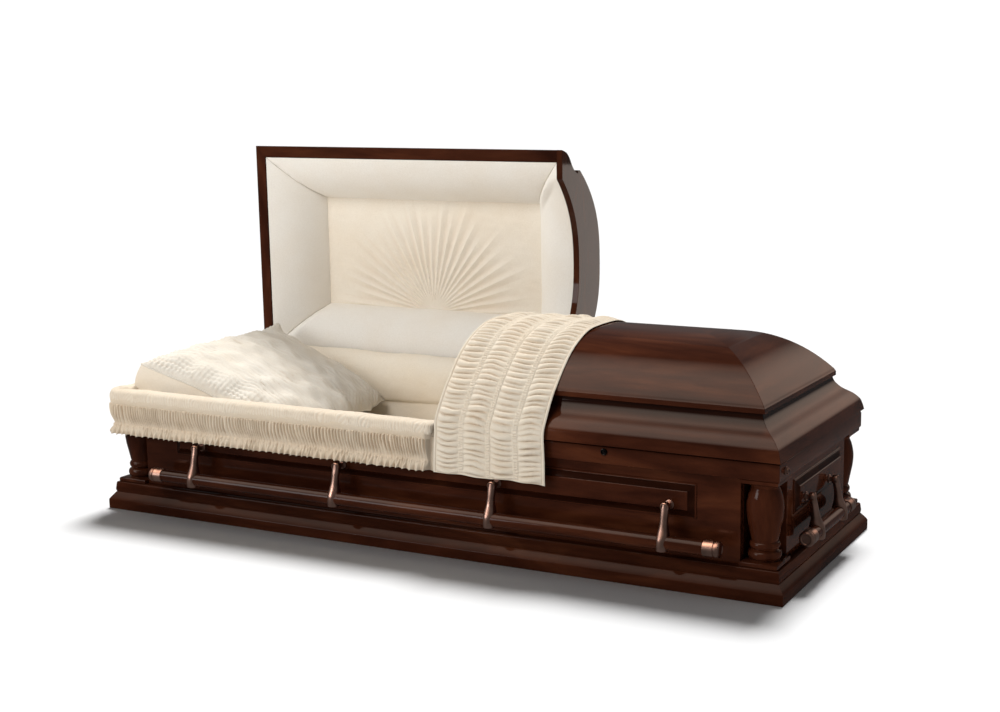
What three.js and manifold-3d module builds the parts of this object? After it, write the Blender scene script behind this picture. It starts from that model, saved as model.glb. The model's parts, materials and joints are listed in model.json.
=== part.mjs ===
// Half-couch hardwood casket: moulded base, panelled body with corner columns, two hinged lids, swing-bar handles,
// and a fabric interior with pillow, ruffle and throw. Millimetres, +Z up, +X from the head end to the foot end.
// The viewer's side is -Y. The origin is the centre of the underside. The head lid stands open, the foot lid is shut.
import * as THREE from 'three';
import { mergeVertices } from 'three/addons/utils/BufferGeometryUtils.js';
import Module from 'manifold-3d';

const wasm = await Module();
wasm.setup();

// Clearances
const fitGap = 0.3;
const runningGap = 0.4;
const lidGap = 4;
const splitGap = 4;

// Body, measured over the outer faces of its boards
const bodyLength = 2048;
const bodyWidth = 652;
const boardThickness = 20;
const bottomThickness = 20;
const recessSize = 88;

// Base moulding
const baseHeight = 80;
const baseProjection = 36;
const fasciaHeight = 27;
const bandHeight = 30;
const bandInset = 17;
const baseTopRounding = 6;

// Top rail and the face height of the boards below it
const boardHeight = 218;
const railHeight = 45;
const railProjection = 16;
const railChamfer = 3;

// Raised panels on the boards
const sidePanelHalfLength = 821;
const endPanelHalfLength = 190;
const panelHeight = 90;
const panelBottomAboveBase = 101;
const panelRise = 9;
const panelBevel = 24;
const panelEdge = 2;

// Corner columns
const plateSize = 98;
const footPlateHeight = 12;
const capPlateHeight = 12;
const columnInsetX = 37;
const columnInsetY = 36;
const columnSides = 16;
const vaseRadius = 46;
const neckRadius = 33;
const torusRadius = 42;
const ringRadius = 38;
const collarRadius = 36;

// Lids
const splitX = 99;
const lidSideOverhang = 26.3;
const lidEndOverhang = 21.5;
const rimHeight = 103;
const rimThickness = 24;
const rimTopInset = 73;
const crownInset = 64.6;
const crownLipHeight = 14;
const crownRise = 132;
const crownCurve = 2.6;
const crownSteps = 9;
const crownShell = 16;
const ridgeHalfWidth = 6;
const headerThickness = 20;
const archHalfWidth = 265;
const archHeight = 105;
const archCurve = 2.5;
const archSteps = 12;
const lidOpenDegrees = 90;

// Lid hinges
const hingeBarrelRadius = 2.6;
const hingeAxisBehindRim = 3;
const hingeAxisBelowRim = 2;
const hingeLeafThickness = 1.6;
const hingeLeafHeight = 22;
const hingeEndMargin = 45;

// Lid lining
const liningRimMargin = 38;
const liningRollWidth = 137;
const liningRollDepth = 145;
const liningRollBulge = 20;
const liningRollThickness = 26;
const liningPanelThickness = 14;

// Body lining, mattress and pillow
const liningThickness = 24;
const mattressTop = 200;
const mattressHeadRise = 128;
const mattressSlopeStart = 504;
const mattressSlopeEnd = 187;
const mattressGap = 2;
const pillowLength = 540;
const pillowWidth = 556;
const pillowCrown = 82;
const pillowUnderside = 44;
const pillowTiltDegrees = 22.5;
const pillowFromHeadBoard = 299;
const pillowShiftY = 2;
const pillowAboveMattress = 140;
const pillowSteps = 8;

// Ruffle over the front rim and round the head end
const ruffleThickness = 28;
const ruffleDrop = 117;
const ruffleFlangeWidth = 30;
const ruffleCornerRadius = 58;
const ruffleTopGap = 0.7;

// Throw over the foot lid
const throwWidth = 314;
const throwThickness = 10;
const throwBackY = 200;
const throwHang = 118;
const throwGap = 1.2;

// Handles
const barRadius = 16;
const barSides = 12;
const tipRadius = 19;
const tipLength = 44;
const sideBarHalfLength = 888;
const endBarHalfLength = 185;
const frontBarShift = 18;
const endBarShift = -28;
const sideArmPitch = 490;
const sideArmCount = 4;
const endArmPitch = 192;
const endArmCount = 2;
const sidePivotStandoff = 25;
const endPivotStandoff = 16;
const pivotHeight = 213;
const barHeight = 127;
const barOutset = 15;
const armKnobRadius = 12;
const armWaistWidth = 15;
const armFootWidth = 34;
const armFootRadius = 21;
const armThickness = 15;
const armSlotWidth = 10.8;
const lugWidth = 10;
const lugEyeRadius = 7;
const lugPlateRadius = 15;
const lugPlateThickness = 3;
const pinRadius = 3;
const eyeSides = 8;

// Small fittings on the rail
const lockRadius = 9;
const lockDepth = 4;
const lockX = 576;
const keyRadius = 10;
const keyDepth = 9;
const keyY = -300;
const fittingSides = 16;

// Places worked out from the sizes above
const bodyHalfX = bodyLength / 2;
const bodyHalfY = bodyWidth / 2;
const innerHalfX = bodyHalfX - boardThickness;
const innerHalfY = bodyHalfY - boardThickness;
const recessX = bodyHalfX - recessSize;
const recessY = bodyHalfY - recessSize;
const boardBottom = baseHeight + fitGap;
const railBottom = baseHeight + boardHeight;
const railTop = railBottom + railHeight;
const railHalfX = bodyHalfX + railProjection;
const railHalfY = bodyHalfY + railProjection;
const rimBottom = railTop + lidGap;
const rimTop = rimBottom + rimHeight;
const rimHalfX = bodyHalfX + lidEndOverhang;
const rimHalfY = bodyHalfY + lidSideOverhang;
const crownHalfX = rimHalfX - crownInset;
const crownHalfY = rimHalfY - crownInset;
const crownBase = rimTop + crownLipHeight;
const hingeY = rimHalfY + hingeAxisBehindRim;
const hingeZ = rimBottom - hingeAxisBelowRim;
const headLidEdge = splitX - splitGap / 2;
const footLidEdge = splitX + splitGap / 2;
const panelFace = panelRise + panelEdge;
const farAway = 4000;

// Materials
const wood = () => new THREE.MeshStandardMaterial({ color: 0x4a2a20, roughness: 0.18, metalness: 0 });
const copper = () => new THREE.MeshStandardMaterial({ color: 0xb98470, roughness: 0.25, metalness: 1 });
const darkMetal = () => new THREE.MeshStandardMaterial({ color: 0x1c1a19, roughness: 0.35, metalness: 1 });
const cream = () => new THREE.MeshStandardMaterial({ color: 0xefe4cf, roughness: 0.9, metalness: 0 });

// Closed triangle list with shared corners, turned so that its faces point out
function closedGeometry(positions, indices) {
  const geometry = new THREE.BufferGeometry();
  geometry.setAttribute('position', new THREE.Float32BufferAttribute(positions, 3));
  geometry.setIndex(indices);
  return outwardFacing(geometry);
}

function outwardFacing(geometry) {
  const place = geometry.getAttribute('position');
  const index = Array.from(geometry.getIndex().array);
  const corner = (i) => new THREE.Vector3().fromBufferAttribute(place, index[i]);
  let volume = 0;
  for (let i = 0; i < index.length; i += 3) {
    volume += corner(i).dot(corner(i + 1).cross(corner(i + 2)));
  }
  if (volume < 0) {
    for (let i = 0; i < index.length; i += 3) {
      [index[i], index[i + 1]] = [index[i + 1], index[i]];
    }
    geometry.setIndex(index);
  }
  return geometry;
}

function toSolid(geometry) {
  let plain = geometry.clone();
  plain.deleteAttribute('normal');
  plain.deleteAttribute('uv');
  plain = mergeVertices(plain, 1e-4);
  return new wasm.Manifold(new wasm.Mesh({
    numProp: 3,
    vertProperties: new Float32Array(plain.getAttribute('position').array),
    triVerts: new Uint32Array(plain.getIndex().array),
  }));
}

function toGeometry(solid) {
  const mesh = solid.getMesh();
  const geometry = new THREE.BufferGeometry();
  geometry.setAttribute('position', new THREE.BufferAttribute(new Float32Array(mesh.vertProperties), 3));
  geometry.setIndex(new THREE.BufferAttribute(new Uint32Array(mesh.triVerts), 1));
  return geometry;
}

// A block between two corners
function block(low, high) {
  const size = new THREE.Vector3().subVectors(high, low);
  const centre = new THREE.Vector3().addVectors(low, high).multiplyScalar(0.5);
  return new THREE.BoxGeometry(size.x, size.y, size.z).translate(centre.x, centre.y, centre.z);
}

const vec = (x, y, z) => new THREE.Vector3(x, y, z);

// A moulding round a right-angled outline, seen from above and anticlockwise, with mitred corners.
// Each profile point is [inset from the outline, height].
function mouldingRing(outline, profile) {
  const positions = [];
  outline.forEach((corner, i) => {
    const before = outline[(i + outline.length - 1) % outline.length];
    const after = outline[(i + 1) % outline.length];
    const inX = -Math.sign(corner[1] - before[1]) - Math.sign(after[1] - corner[1]);
    const inY = Math.sign(corner[0] - before[0]) + Math.sign(after[0] - corner[0]);
    profile.forEach(([inset, z]) => positions.push(corner[0] + inX * inset, corner[1] + inY * inset, z));
  });
  const indices = [];
  const n = profile.length;
  const count = outline.length;
  for (let i = 0; i < count; i += 1) {
    for (let j = 0; j < n; j += 1) {
      const a = i * n + j;
      const b = ((i + 1) % count) * n + j;
      const c = ((i + 1) % count) * n + ((j + 1) % n);
      const d = i * n + ((j + 1) % n);
      indices.push(a, b, c, a, c, d);
    }
  }
  return closedGeometry(positions, indices);
}

// A solid of stacked rectangles, each inset from the first: panels with bevels and hipped domes
function steppedBlock(halfX, halfY, profile) {
  const positions = [];
  profile.forEach(([inset, z]) => {
    const x = halfX - inset;
    const y = halfY - inset;
    positions.push(-x, -y, z, x, -y, z, x, y, z, -x, y, z);
  });
  const indices = [0, 2, 1, 0, 3, 2];
  for (let j = 0; j < profile.length - 1; j += 1) {
    for (let i = 0; i < 4; i += 1) {
      const a = j * 4 + i;
      const b = j * 4 + ((i + 1) % 4);
      indices.push(a, b, b + 4, a, b + 4, a + 4);
    }
  }
  const top = (profile.length - 1) * 4;
  indices.push(top, top + 1, top + 2, top, top + 2, top + 3);
  return closedGeometry(positions, indices);
}

const rectangle = (halfX, halfY) => [[-halfX, -halfY], [halfX, -halfY], [halfX, halfY], [-halfX, halfY]];

// The body's outline seen from above, stepped in at each corner round the columns' recesses
function recessedOutline(halfX, halfY, stepX, stepY) {
  return [
    [-stepX, -halfY], [stepX, -halfY], [stepX, -stepY], [halfX, -stepY],
    [halfX, stepY], [stepX, stepY], [stepX, halfY], [-stepX, halfY],
    [-stepX, stepY], [-halfX, stepY], [-halfX, -stepY], [-stepX, -stepY],
  ];
}

function shapeOf(points) {
  return new THREE.Shape(points.map(([x, y]) => new THREE.Vector2(x, y)));
}

function extruded(points, depth) {
  return new THREE.ExtrudeGeometry(shapeOf(points), { depth, bevelEnabled: false, steps: 1 });
}

// Turns a shape drawn in Y and Z, and extruded, so that it runs along X from the given place
function alongX(geometry, startX) {
  return geometry.applyMatrix4(new THREE.Matrix4().set(0, 0, 1, startX, 1, 0, 0, 0, 0, 1, 0, 0, 0, 0, 0, 1));
}

// A shape drawn in X and Z that runs along Y from the given place
function alongY(points, depth, startY) {
  return extruded(points, depth).rotateX(Math.PI / 2).translate(0, startY + depth, 0);
}

function smoothLine(points, divisions) {
  const curve = new THREE.SplineCurve(points.map(([x, y]) => new THREE.Vector2(x, y)));
  return curve.getPoints(divisions).map((point) => [point.x, point.y]);
}

const casket = new THREE.Group();

function addPiece(parent, name, geometry, material) {
  const mesh = new THREE.Mesh(geometry, material);
  mesh.name = name;
  parent.add(mesh);
  return mesh;
}

// Corner blocks that carry the columns, cut out of the bottom board by the given gap
function cornerBlocks(gap, bottom, top) {
  const blocks = [];
  for (const sx of [-1, 1]) {
    for (const sy of [-1, 1]) {
      const near = vec(sx * (recessX - boardThickness - gap), sy * (recessY - boardThickness - gap), bottom);
      const far = vec(sx * (bodyHalfX + gap), sy * (bodyHalfY + gap), top);
      blocks.push(block(near.clone().min(far), near.clone().max(far)));
    }
  }
  return blocks;
}

function baseMoulding() {
  const halfX = bodyHalfX + baseProjection;
  const halfY = bodyHalfY + baseProjection;
  const coveTop = baseHeight - bandHeight;
  const cove = smoothLine([[0, fasciaHeight], [bandInset * 0.35, fasciaHeight + 9], [bandInset, coveTop]], 6);
  const inner = baseProjection + boardThickness;
  const profile = [
    [0, 0], ...cove,
    [bandInset - 2, coveTop + 8], [bandInset, baseHeight - baseTopRounding],
    [bandInset + baseTopRounding, baseHeight], [inner, baseHeight], [inner, 0],
  ];
  let solid = toSolid(mouldingRing(rectangle(halfX, halfY), profile));
  for (const corner of cornerBlocks(0, 0, baseHeight)) {
    solid = solid.add(toSolid(corner));
  }
  return toGeometry(solid);
}

function bottomBoard() {
  const halfX = innerHalfX - fitGap;
  const halfY = innerHalfY - fitGap;
  let solid = toSolid(block(vec(-halfX, -halfY, 0), vec(halfX, halfY, bottomThickness)));
  for (const corner of cornerBlocks(fitGap, -1, bottomThickness + 1)) {
    solid = solid.subtract(toSolid(corner));
  }
  return toGeometry(solid);
}

// A side board stands between the two corner recesses of its side
function sideBoard(side) {
  const low = vec(-recessX, side * innerHalfY, boardBottom);
  const high = vec(recessX, side * bodyHalfY, railBottom - fitGap);
  return block(low.clone().min(high), low.clone().max(high));
}

// An end board with the returns that line the two recesses beside it
function endBoard(end) {
  const t = boardThickness;
  const outline = [
    [recessX - t, -innerHalfY + fitGap], [recessX, -innerHalfY + fitGap], [recessX, -recessY], [bodyHalfX, -recessY],
    [bodyHalfX, recessY], [recessX, recessY], [recessX, innerHalfY - fitGap], [recessX - t, innerHalfY - fitGap],
    [recessX - t, recessY - t], [innerHalfX, recessY - t], [innerHalfX, -recessY + t], [recessX - t, -recessY + t],
  ];
  const mirrored = outline.map(([x, y]) => [end * x, y]);
  return extruded(mirrored, railBottom - fitGap - boardBottom).translate(0, 0, boardBottom);
}

function topRail() {
  const width = railProjection + boardThickness;
  const profile = [
    [railChamfer, railBottom], [0, railBottom + railChamfer], [0, railTop - railChamfer], [railChamfer, railTop],
    [width, railTop], [width, railBottom],
  ];
  const ring = toSolid(mouldingRing(rectangle(railHalfX, railHalfY), profile));
  const corners = cornerBlocks(0, railBottom, railTop).map(toSolid);
  return toGeometry(corners.reduce((solid, corner) => solid.add(corner), ring));
}

function column() {
  const bottom = baseHeight + fitGap;
  const top = railBottom - fitGap;
  const shaftBottom = bottom + footPlateHeight;
  const shaftTop = top - capPlateHeight;
  const vase = smoothLine([
    [neckRadius, shaftBottom + 42], [neckRadius + 4, shaftBottom + 66], [vaseRadius - 2, shaftBottom + 108],
    [vaseRadius, shaftBottom + 132], [vaseRadius - 6, shaftBottom + 158], [neckRadius, shaftTop - 14],
  ], 8);
  const outline = [
    [0, shaftBottom - 1], [torusRadius - 5, shaftBottom - 1], [torusRadius, shaftBottom + 9],
    [torusRadius - 6, shaftBottom + 19], [ringRadius - 1, shaftBottom + 22], [ringRadius, shaftBottom + 30],
    [neckRadius + 1, shaftBottom + 37], ...vase,
    [collarRadius, shaftTop - 8], [collarRadius, shaftTop + 1], [0, shaftTop + 1],
  ];
  const shaft = new THREE.LatheGeometry(outline.map(([r, z]) => new THREE.Vector2(r, z)), columnSides);
  shaft.rotateX(Math.PI / 2);
  const half = plateSize / 2;
  const footPlate = block(vec(-half, -half, bottom), vec(half, half, shaftBottom));
  const capPlate = block(vec(-half, -half, shaftTop), vec(half, half, top));
  return toGeometry(toSolid(outwardFacing(shaft)).add(toSolid(footPlate)).add(toSolid(capPlate)));
}

function addColumns() {
  const x = bodyHalfX - columnInsetX;
  const y = bodyHalfY - columnInsetY;
  for (const [end, sx] of [['head', -1], ['foot', 1]]) {
    for (const [side, sy] of [['front', -1], ['back', 1]]) {
      addPiece(casket, `column_${end}_${side}`, column(), wood()).position.set(sx * x, sy * y, 0);
    }
  }
}

// A raised panel lies flat with its face up, and is turned to face outwards
function raisedPanel(halfLength) {
  const profile = [[0, fitGap], [0, panelEdge], [panelBevel, panelEdge + panelRise]];
  return steppedBlock(halfLength, panelHeight / 2, profile);
}

function addPanels() {
  const z = baseHeight + panelBottomAboveBase + panelHeight / 2;
  const places = [
    ['front_panel', sidePanelHalfLength, 0, -bodyHalfY, 0],
    ['back_panel', sidePanelHalfLength, 0, bodyHalfY, Math.PI],
    ['head_panel', endPanelHalfLength, -bodyHalfX, 0, -Math.PI / 2],
    ['foot_panel', endPanelHalfLength, bodyHalfX, 0, Math.PI / 2],
  ];
  for (const [name, halfLength, x, y, turn] of places) {
    const geometry = raisedPanel(halfLength).rotateX(Math.PI / 2).rotateZ(turn);
    addPiece(casket, name, geometry, wood()).position.set(x, y, z);
  }
}

// Height of the crown's outer face above its base, by distance in from its outline
function crownHeight(inset, rise, reach) {
  const share = Math.min(1, Math.max(0, inset / reach));
  return rise * (1 - (1 - share) ** crownCurve);
}

function crownProfile(halfY, rise) {
  const reach = halfY - ridgeHalfWidth;
  const points = [];
  for (let i = 0; i <= crownSteps; i += 1) {
    const inset = reach * (i / crownSteps) ** 1.15;
    points.push([inset, crownBase + crownHeight(inset, rise, reach)]);
  }
  return points;
}

function rimProfile() {
  return smoothLine([
    [0, rimBottom], [4.6, rimBottom + 18], [10.8, rimBottom + 33], [26.7, rimBottom + 50],
    [50.8, rimBottom + 67], [67, rimBottom + 86], [rimTopInset, rimTop - fitGap],
  ], 9);
}

function lidSlab(low, high) {
  return toSolid(block(vec(low, -farAway, -farAway), vec(high, farAway, farAway)));
}

function crown(low, high) {
  const outer = steppedBlock(crownHalfX, crownHalfY, [[0, rimTop], ...crownProfile(crownHalfY, crownRise)]);
  const innerHalf = crownHalfY - crownShell;
  const innerTop = crownProfile(innerHalf, crownRise - crownShell);
  const inner = steppedBlock(crownHalfX - crownShell, innerHalf, [[0, rimTop - crownShell], ...innerTop]);
  return toGeometry(toSolid(outer).subtract(toSolid(inner)).intersect(lidSlab(low, high)));
}

function rim(low, high) {
  const outer = rimProfile();
  const inner = outer.map(([inset, z]) => [inset + rimThickness, z]).reverse();
  const ring = mouldingRing(rectangle(rimHalfX, rimHalfY), [...outer, ...inner]);
  return toGeometry(toSolid(ring).intersect(lidSlab(low, high)));
}

// The lid's outer outline across its width, from front to back, as [y, z]
function lidOutline() {
  const front = [
    ...rimProfile().map(([inset, z]) => [inset - rimHalfY, z]),
    [-crownHalfY, rimTop], ...crownProfile(crownHalfY, crownRise).map(([inset, z]) => [inset - crownHalfY, z]),
  ];
  const back = front.map(([y, z]) => [-y, z]).reverse();
  return [...front, ...back];
}

// The board that closes a lid at the split, with an arch cut out of its lower edge
function header() {
  const arch = [];
  for (let i = 0; i <= archSteps; i += 1) {
    const y = archHalfWidth * Math.cos(Math.PI * i / archSteps);
    arch.push([y, rimBottom + archHeight * (1 - Math.abs(y / archHalfWidth) ** archCurve)]);
  }
  return alongX(extruded([...lidOutline(), ...arch], headerThickness), 0);
}

// Four padded rolls that slope in from the rim to the recessed panel
function lidLining() {
  const low = -rimHalfX + liningRimMargin;
  const high = headLidEdge - headerThickness - fitGap;
  const halfY = rimHalfY - liningRimMargin;
  const z = rimBottom + fitGap * 10;
  const face = [];
  const back = [];
  for (let i = 0; i <= 6; i += 1) {
    const share = i / 6;
    const bulge = liningRollBulge * Math.sin(Math.PI * share);
    const inset = liningRollWidth * share;
    const height = z + liningRollDepth * share;
    face.push([inset + bulge * 0.7, height - bulge * 0.7]);
    back.push([inset - liningRollThickness * share * 0.5 + 2, height + liningRollThickness * (1 - share * 0.4)]);
  }
  face[6] = [liningRollWidth, z + liningRollDepth];
  const outline = [[low, -halfY], [high, -halfY], [high, halfY], [low, halfY]];
  return mouldingRing(outline, [...face, ...back.reverse()]);
}

function lidPanel() {
  const low = -rimHalfX + liningRimMargin + liningRollWidth + fitGap;
  const high = headLidEdge - headerThickness - 2 * fitGap - liningRollWidth;
  const halfY = rimHalfY - liningRimMargin - liningRollWidth - fitGap;
  const z = rimBottom + liningRollDepth;
  return block(vec(low, -halfY, z), vec(high, halfY, z + liningPanelThickness));
}

// The throw lies on the foot lid from behind its ridge and hangs down over the front rim
function throwCover() {
  const rise = crownProfile(crownHalfY, crownRise).map(([inset, z]) => [crownHalfY - inset, z + throwGap]);
  const back = rise.filter(([y]) => y < throwBackY);
  const line = [...back, ...rise.map(([y, z]) => [-y, z]).reverse()];
  line.push([-crownHalfY - throwGap, crownBase - 3]);
  line.push([-rimHalfY - throwGap, rimBottom + 26]);
  line.push([-rimHalfY - throwGap - 3, rimBottom]);
  line.push([-rimHalfY - throwGap - 4, rimBottom - throwHang]);
  const outer = line.map((point, i) => {
    const before = line[Math.max(0, i - 1)];
    const after = line[Math.min(line.length - 1, i + 1)];
    const run = new THREE.Vector2(after[0] - before[0], after[1] - before[1]).normalize();
    return [point[0] + run.y * throwThickness, point[1] - run.x * throwThickness];
  });
  return alongX(extruded([...line, ...outer.reverse()], throwWidth), footLidEdge);
}

function bodyLining() {
  const outline = recessedOutline(
    innerHalfX - fitGap, innerHalfY - fitGap,
    recessX - boardThickness - fitGap, recessY - boardThickness - fitGap,
  );
  const top = railTop - fitGap;
  const t = liningThickness;
  const profile = [
    [0, bottomThickness + fitGap], [0, top - t * 0.3], [t * 0.3, top], [t * 0.75, top],
    [t, top - t * 0.4], [t, bottomThickness + fitGap],
  ];
  return mouldingRing(outline, profile);
}

// The bed is one soft solid, raised under the pillow
function mattress() {
  const inset = liningThickness + mattressGap + fitGap;
  const halfX = innerHalfX - inset;
  const halfY = innerHalfY - inset;
  const bottom = bottomThickness + fitGap;
  const side = [
    [-halfX, bottom], [halfX, bottom], [halfX, mattressTop], [mattressSlopeStart - innerHalfX, mattressTop],
    [mattressSlopeEnd - innerHalfX, mattressTop + mattressHeadRise], [-halfX, mattressTop + mattressHeadRise],
  ];
  const plan = recessedOutline(halfX, halfY, recessX - boardThickness - inset, recessY - boardThickness - inset);
  const slab = toSolid(alongY(side, 2 * halfY, -halfY));
  return toGeometry(slab.intersect(toSolid(extruded(plan, farAway))));
}

// Two crowned faces that meet at a seam round the edge
function pillow() {
  const positions = [];
  const n = pillowSteps;
  for (const height of [pillowCrown, -pillowUnderside]) {
    for (let i = 0; i <= n; i += 1) {
      for (let j = 0; j <= n; j += 1) {
        const u = Math.sin((i / n - 0.5) * Math.PI);
        const v = Math.sin((j / n - 0.5) * Math.PI);
        const crownShare = Math.sqrt(Math.max(0, (1 - u ** 4) * (1 - v ** 4)));
        positions.push(u * pillowLength / 2, v * pillowWidth / 2, height * crownShare);
      }
    }
  }
  const indices = [];
  const faceSize = (n + 1) * (n + 1);
  for (let i = 0; i < n; i += 1) {
    for (let j = 0; j < n; j += 1) {
      const a = i * (n + 1) + j;
      const b = a + n + 1;
      indices.push(a, b, b + 1, a, b + 1, a + 1);
      indices.push(a + faceSize, b + faceSize + 1, b + faceSize, a + faceSize, a + faceSize + 1, b + faceSize + 1);
    }
  }
  const geometry = new THREE.BufferGeometry();
  geometry.setAttribute('position', new THREE.Float32BufferAttribute(positions, 3));
  geometry.setIndex(indices);
  return toGeometry(toSolid(outwardFacing(mergeVertices(geometry, 1e-4))));
}

// The gathered skirt hangs outside the rail, with a flange over the rail's top
function ruffle() {
  const gap = fitGap;
  const outX = railHalfX + ruffleThickness;
  const outY = railHalfY + ruffleThickness;
  const r = ruffleCornerRadius;
  const plan = new THREE.Shape();
  plan.moveTo(headLidEdge, -outY);
  plan.lineTo(headLidEdge, -railHalfY - gap);
  plan.lineTo(-railHalfX - gap, -railHalfY - gap);
  plan.lineTo(-railHalfX - gap, railHalfY);
  plan.lineTo(-outX, railHalfY);
  plan.lineTo(-outX, -outY + r);
  plan.absarc(-outX + r, -outY + r, r, Math.PI, 1.5 * Math.PI, false);
  plan.lineTo(headLidEdge, -outY);
  const top = rimBottom - ruffleTopGap;
  const skirt = new THREE.ExtrudeGeometry(plan, { depth: ruffleDrop, bevelEnabled: false, curveSegments: 5 });
  skirt.translate(0, 0, top - ruffleDrop);
  const low = railTop + gap;
  const front = block(vec(-railHalfX - 1, -railHalfY - 1, low), vec(headLidEdge, -railHalfY + ruffleFlangeWidth, top));
  const end = block(vec(-railHalfX - 1, -railHalfY - 1, low), vec(-railHalfX + ruffleFlangeWidth, railHalfY, top));
  return toGeometry(toSolid(skirt).add(toSolid(front)).add(toSolid(end)));
}

// A lid's hinge: a leaf on the rail's back face and a barrel behind the rim, from one end to the other
function lidHinge(low, high) {
  const x0 = low + hingeEndMargin;
  const length = high - low - 2 * hingeEndMargin;
  const barrel = new THREE.CylinderGeometry(hingeBarrelRadius, hingeBarrelRadius, length, 8);
  barrel.rotateZ(Math.PI / 2).translate(x0 + length / 2, hingeY, hingeZ);
  const face = railHalfY + fitGap;
  const leafTop = hingeZ - hingeBarrelRadius / 2;
  const leaf = block(
    vec(x0, face, leafTop - hingeLeafHeight), vec(x0 + length, face + hingeLeafThickness, leafTop),
  );
  const tab = block(vec(x0, face, leafTop - hingeLeafThickness), vec(x0 + length, hingeY, leafTop));
  return toGeometry(toSolid(barrel).add(toSolid(leaf)).add(toSolid(tab)));
}

// A round fitting with a bevelled face, its axis along +Z
function roundFitting(radius, depth) {
  const outline = [[0, fitGap], [radius, fitGap], [radius, depth * 0.6], [radius * 0.7, depth], [0, depth]];
  const lathe = new THREE.LatheGeometry(outline.map(([r, z]) => new THREE.Vector2(r, z)), fittingSides);
  return toGeometry(toSolid(outwardFacing(lathe.rotateX(Math.PI / 2))));
}

// Handle pieces are drawn for a handle on the -Y side: the pivot is the origin, the bar runs along X
function bar(halfLength) {
  const bevel = 4;
  const outline = [
    [0, -halfLength], [tipRadius - bevel, -halfLength], [tipRadius, -halfLength + bevel],
    [tipRadius, -halfLength + tipLength], [barRadius, -halfLength + tipLength],
  ];
  const mirrored = outline.map(([r, x]) => [r, -x]).reverse();
  const points = [...outline, ...mirrored].map(([r, x]) => new THREE.Vector2(r, x));
  const lathe = new THREE.LatheGeometry(points, barSides).rotateZ(Math.PI / 2);
  return toGeometry(toSolid(outwardFacing(lathe)));
}

function roundAlongX(radius, halfLength, sides, y, z) {
  const cylinder = new THREE.CylinderGeometry(radius, radius, 2 * halfLength, sides);
  return toSolid(cylinder.rotateZ(Math.PI / 2).translate(0, y, z));
}

// Outline of a rounded foot, a waist and a round knob, as seen from the front or the side
function armOutline(knob, waist, foot, lean, drop) {
  const points = [];
  const arcSteps = 6;
  for (let i = 0; i <= arcSteps; i += 1) {
    const angle = Math.PI * i / arcSteps;
    points.push([knob * Math.cos(angle), knob * Math.sin(angle)]);
  }
  points.push([-waist + lean * 0.4, -drop * 0.42]);
  for (let i = 0; i <= arcSteps; i += 1) {
    const angle = Math.PI + Math.PI * i / arcSteps;
    points.push([lean + foot * Math.cos(angle), -drop + armFootRadius * Math.sin(angle)]);
  }
  points.push([waist + lean * 0.4, -drop * 0.42]);
  return points;
}

function arm() {
  const drop = pivotHeight - barHeight;
  const front = armOutline(armKnobRadius, armWaistWidth / 2, armFootWidth / 2, 0, drop);
  const side = armOutline(armKnobRadius, armThickness / 2, armFootRadius, -barOutset, drop);
  let solid = toSolid(alongY(front, 200, -100));
  solid = solid.intersect(toSolid(alongX(extruded(side, 200), -100)));
  solid = solid.subtract(roundAlongX(barRadius + runningGap, 50, barSides, -barOutset, -drop));
  const eye = (lugEyeRadius + runningGap) / Math.cos(Math.PI / eyeSides);
  const half = armSlotWidth / 2;
  solid = solid.subtract(roundAlongX(eye, half, eyeSides, 0, 0));
  solid = solid.subtract(toSolid(block(vec(-half, 0, -eye), vec(half, 50, 50))));
  solid = solid.subtract(toSolid(block(vec(-half, -eye, 0), vec(half, 50, 50))));
  return toGeometry(solid.add(roundAlongX(pinRadius, half + 1, eyeSides, 0, 0)));
}

function lug(standoff) {
  const plateBack = standoff - fitGap;
  const plate = new THREE.CylinderGeometry(lugPlateRadius, lugPlateRadius, lugPlateThickness, 12);
  plate.translate(0, plateBack - lugPlateThickness / 2, 0);
  const half = lugWidth / 2;
  const stem = block(vec(-half, 0, -lugEyeRadius), vec(half, plateBack - 1, lugEyeRadius));
  let solid = toSolid(plate).add(toSolid(stem)).add(roundAlongX(lugEyeRadius, half, eyeSides, 0, 0));
  solid = solid.subtract(roundAlongX(pinRadius + runningGap, lugWidth, eyeSides, 0, 0));
  return toGeometry(solid);
}

function addHandle(name, turn, face, standoff, halfLength, shift, pitch, count) {
  const side = new THREE.Group();
  side.rotation.z = turn;
  casket.add(side);
  const pivotY = -face - panelFace - standoff;
  const drop = pivotHeight - barHeight;
  addPiece(side, `${name}_bar`, bar(halfLength), copper()).position.set(shift, pivotY - barOutset, pivotHeight - drop);
  for (let i = 0; i < count; i += 1) {
    const x = shift + (i - (count - 1) / 2) * pitch;
    addPiece(side, `${name}_arm_${i + 1}`, arm(), copper()).position.set(x, pivotY, pivotHeight);
    addPiece(side, `${name}_lug_${i + 1}`, lug(standoff), copper()).position.set(x, pivotY, pivotHeight);
  }
}

function addBody() {
  addPiece(casket, 'base_moulding', baseMoulding(), wood());
  addPiece(casket, 'bottom_board', bottomBoard(), wood());
  addPiece(casket, 'front_board', sideBoard(-1), wood());
  addPiece(casket, 'back_board', sideBoard(1), wood());
  addPiece(casket, 'head_board', endBoard(-1), wood());
  addPiece(casket, 'foot_board', endBoard(1), wood());
  addPiece(casket, 'top_rail', topRail(), wood());
}

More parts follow.
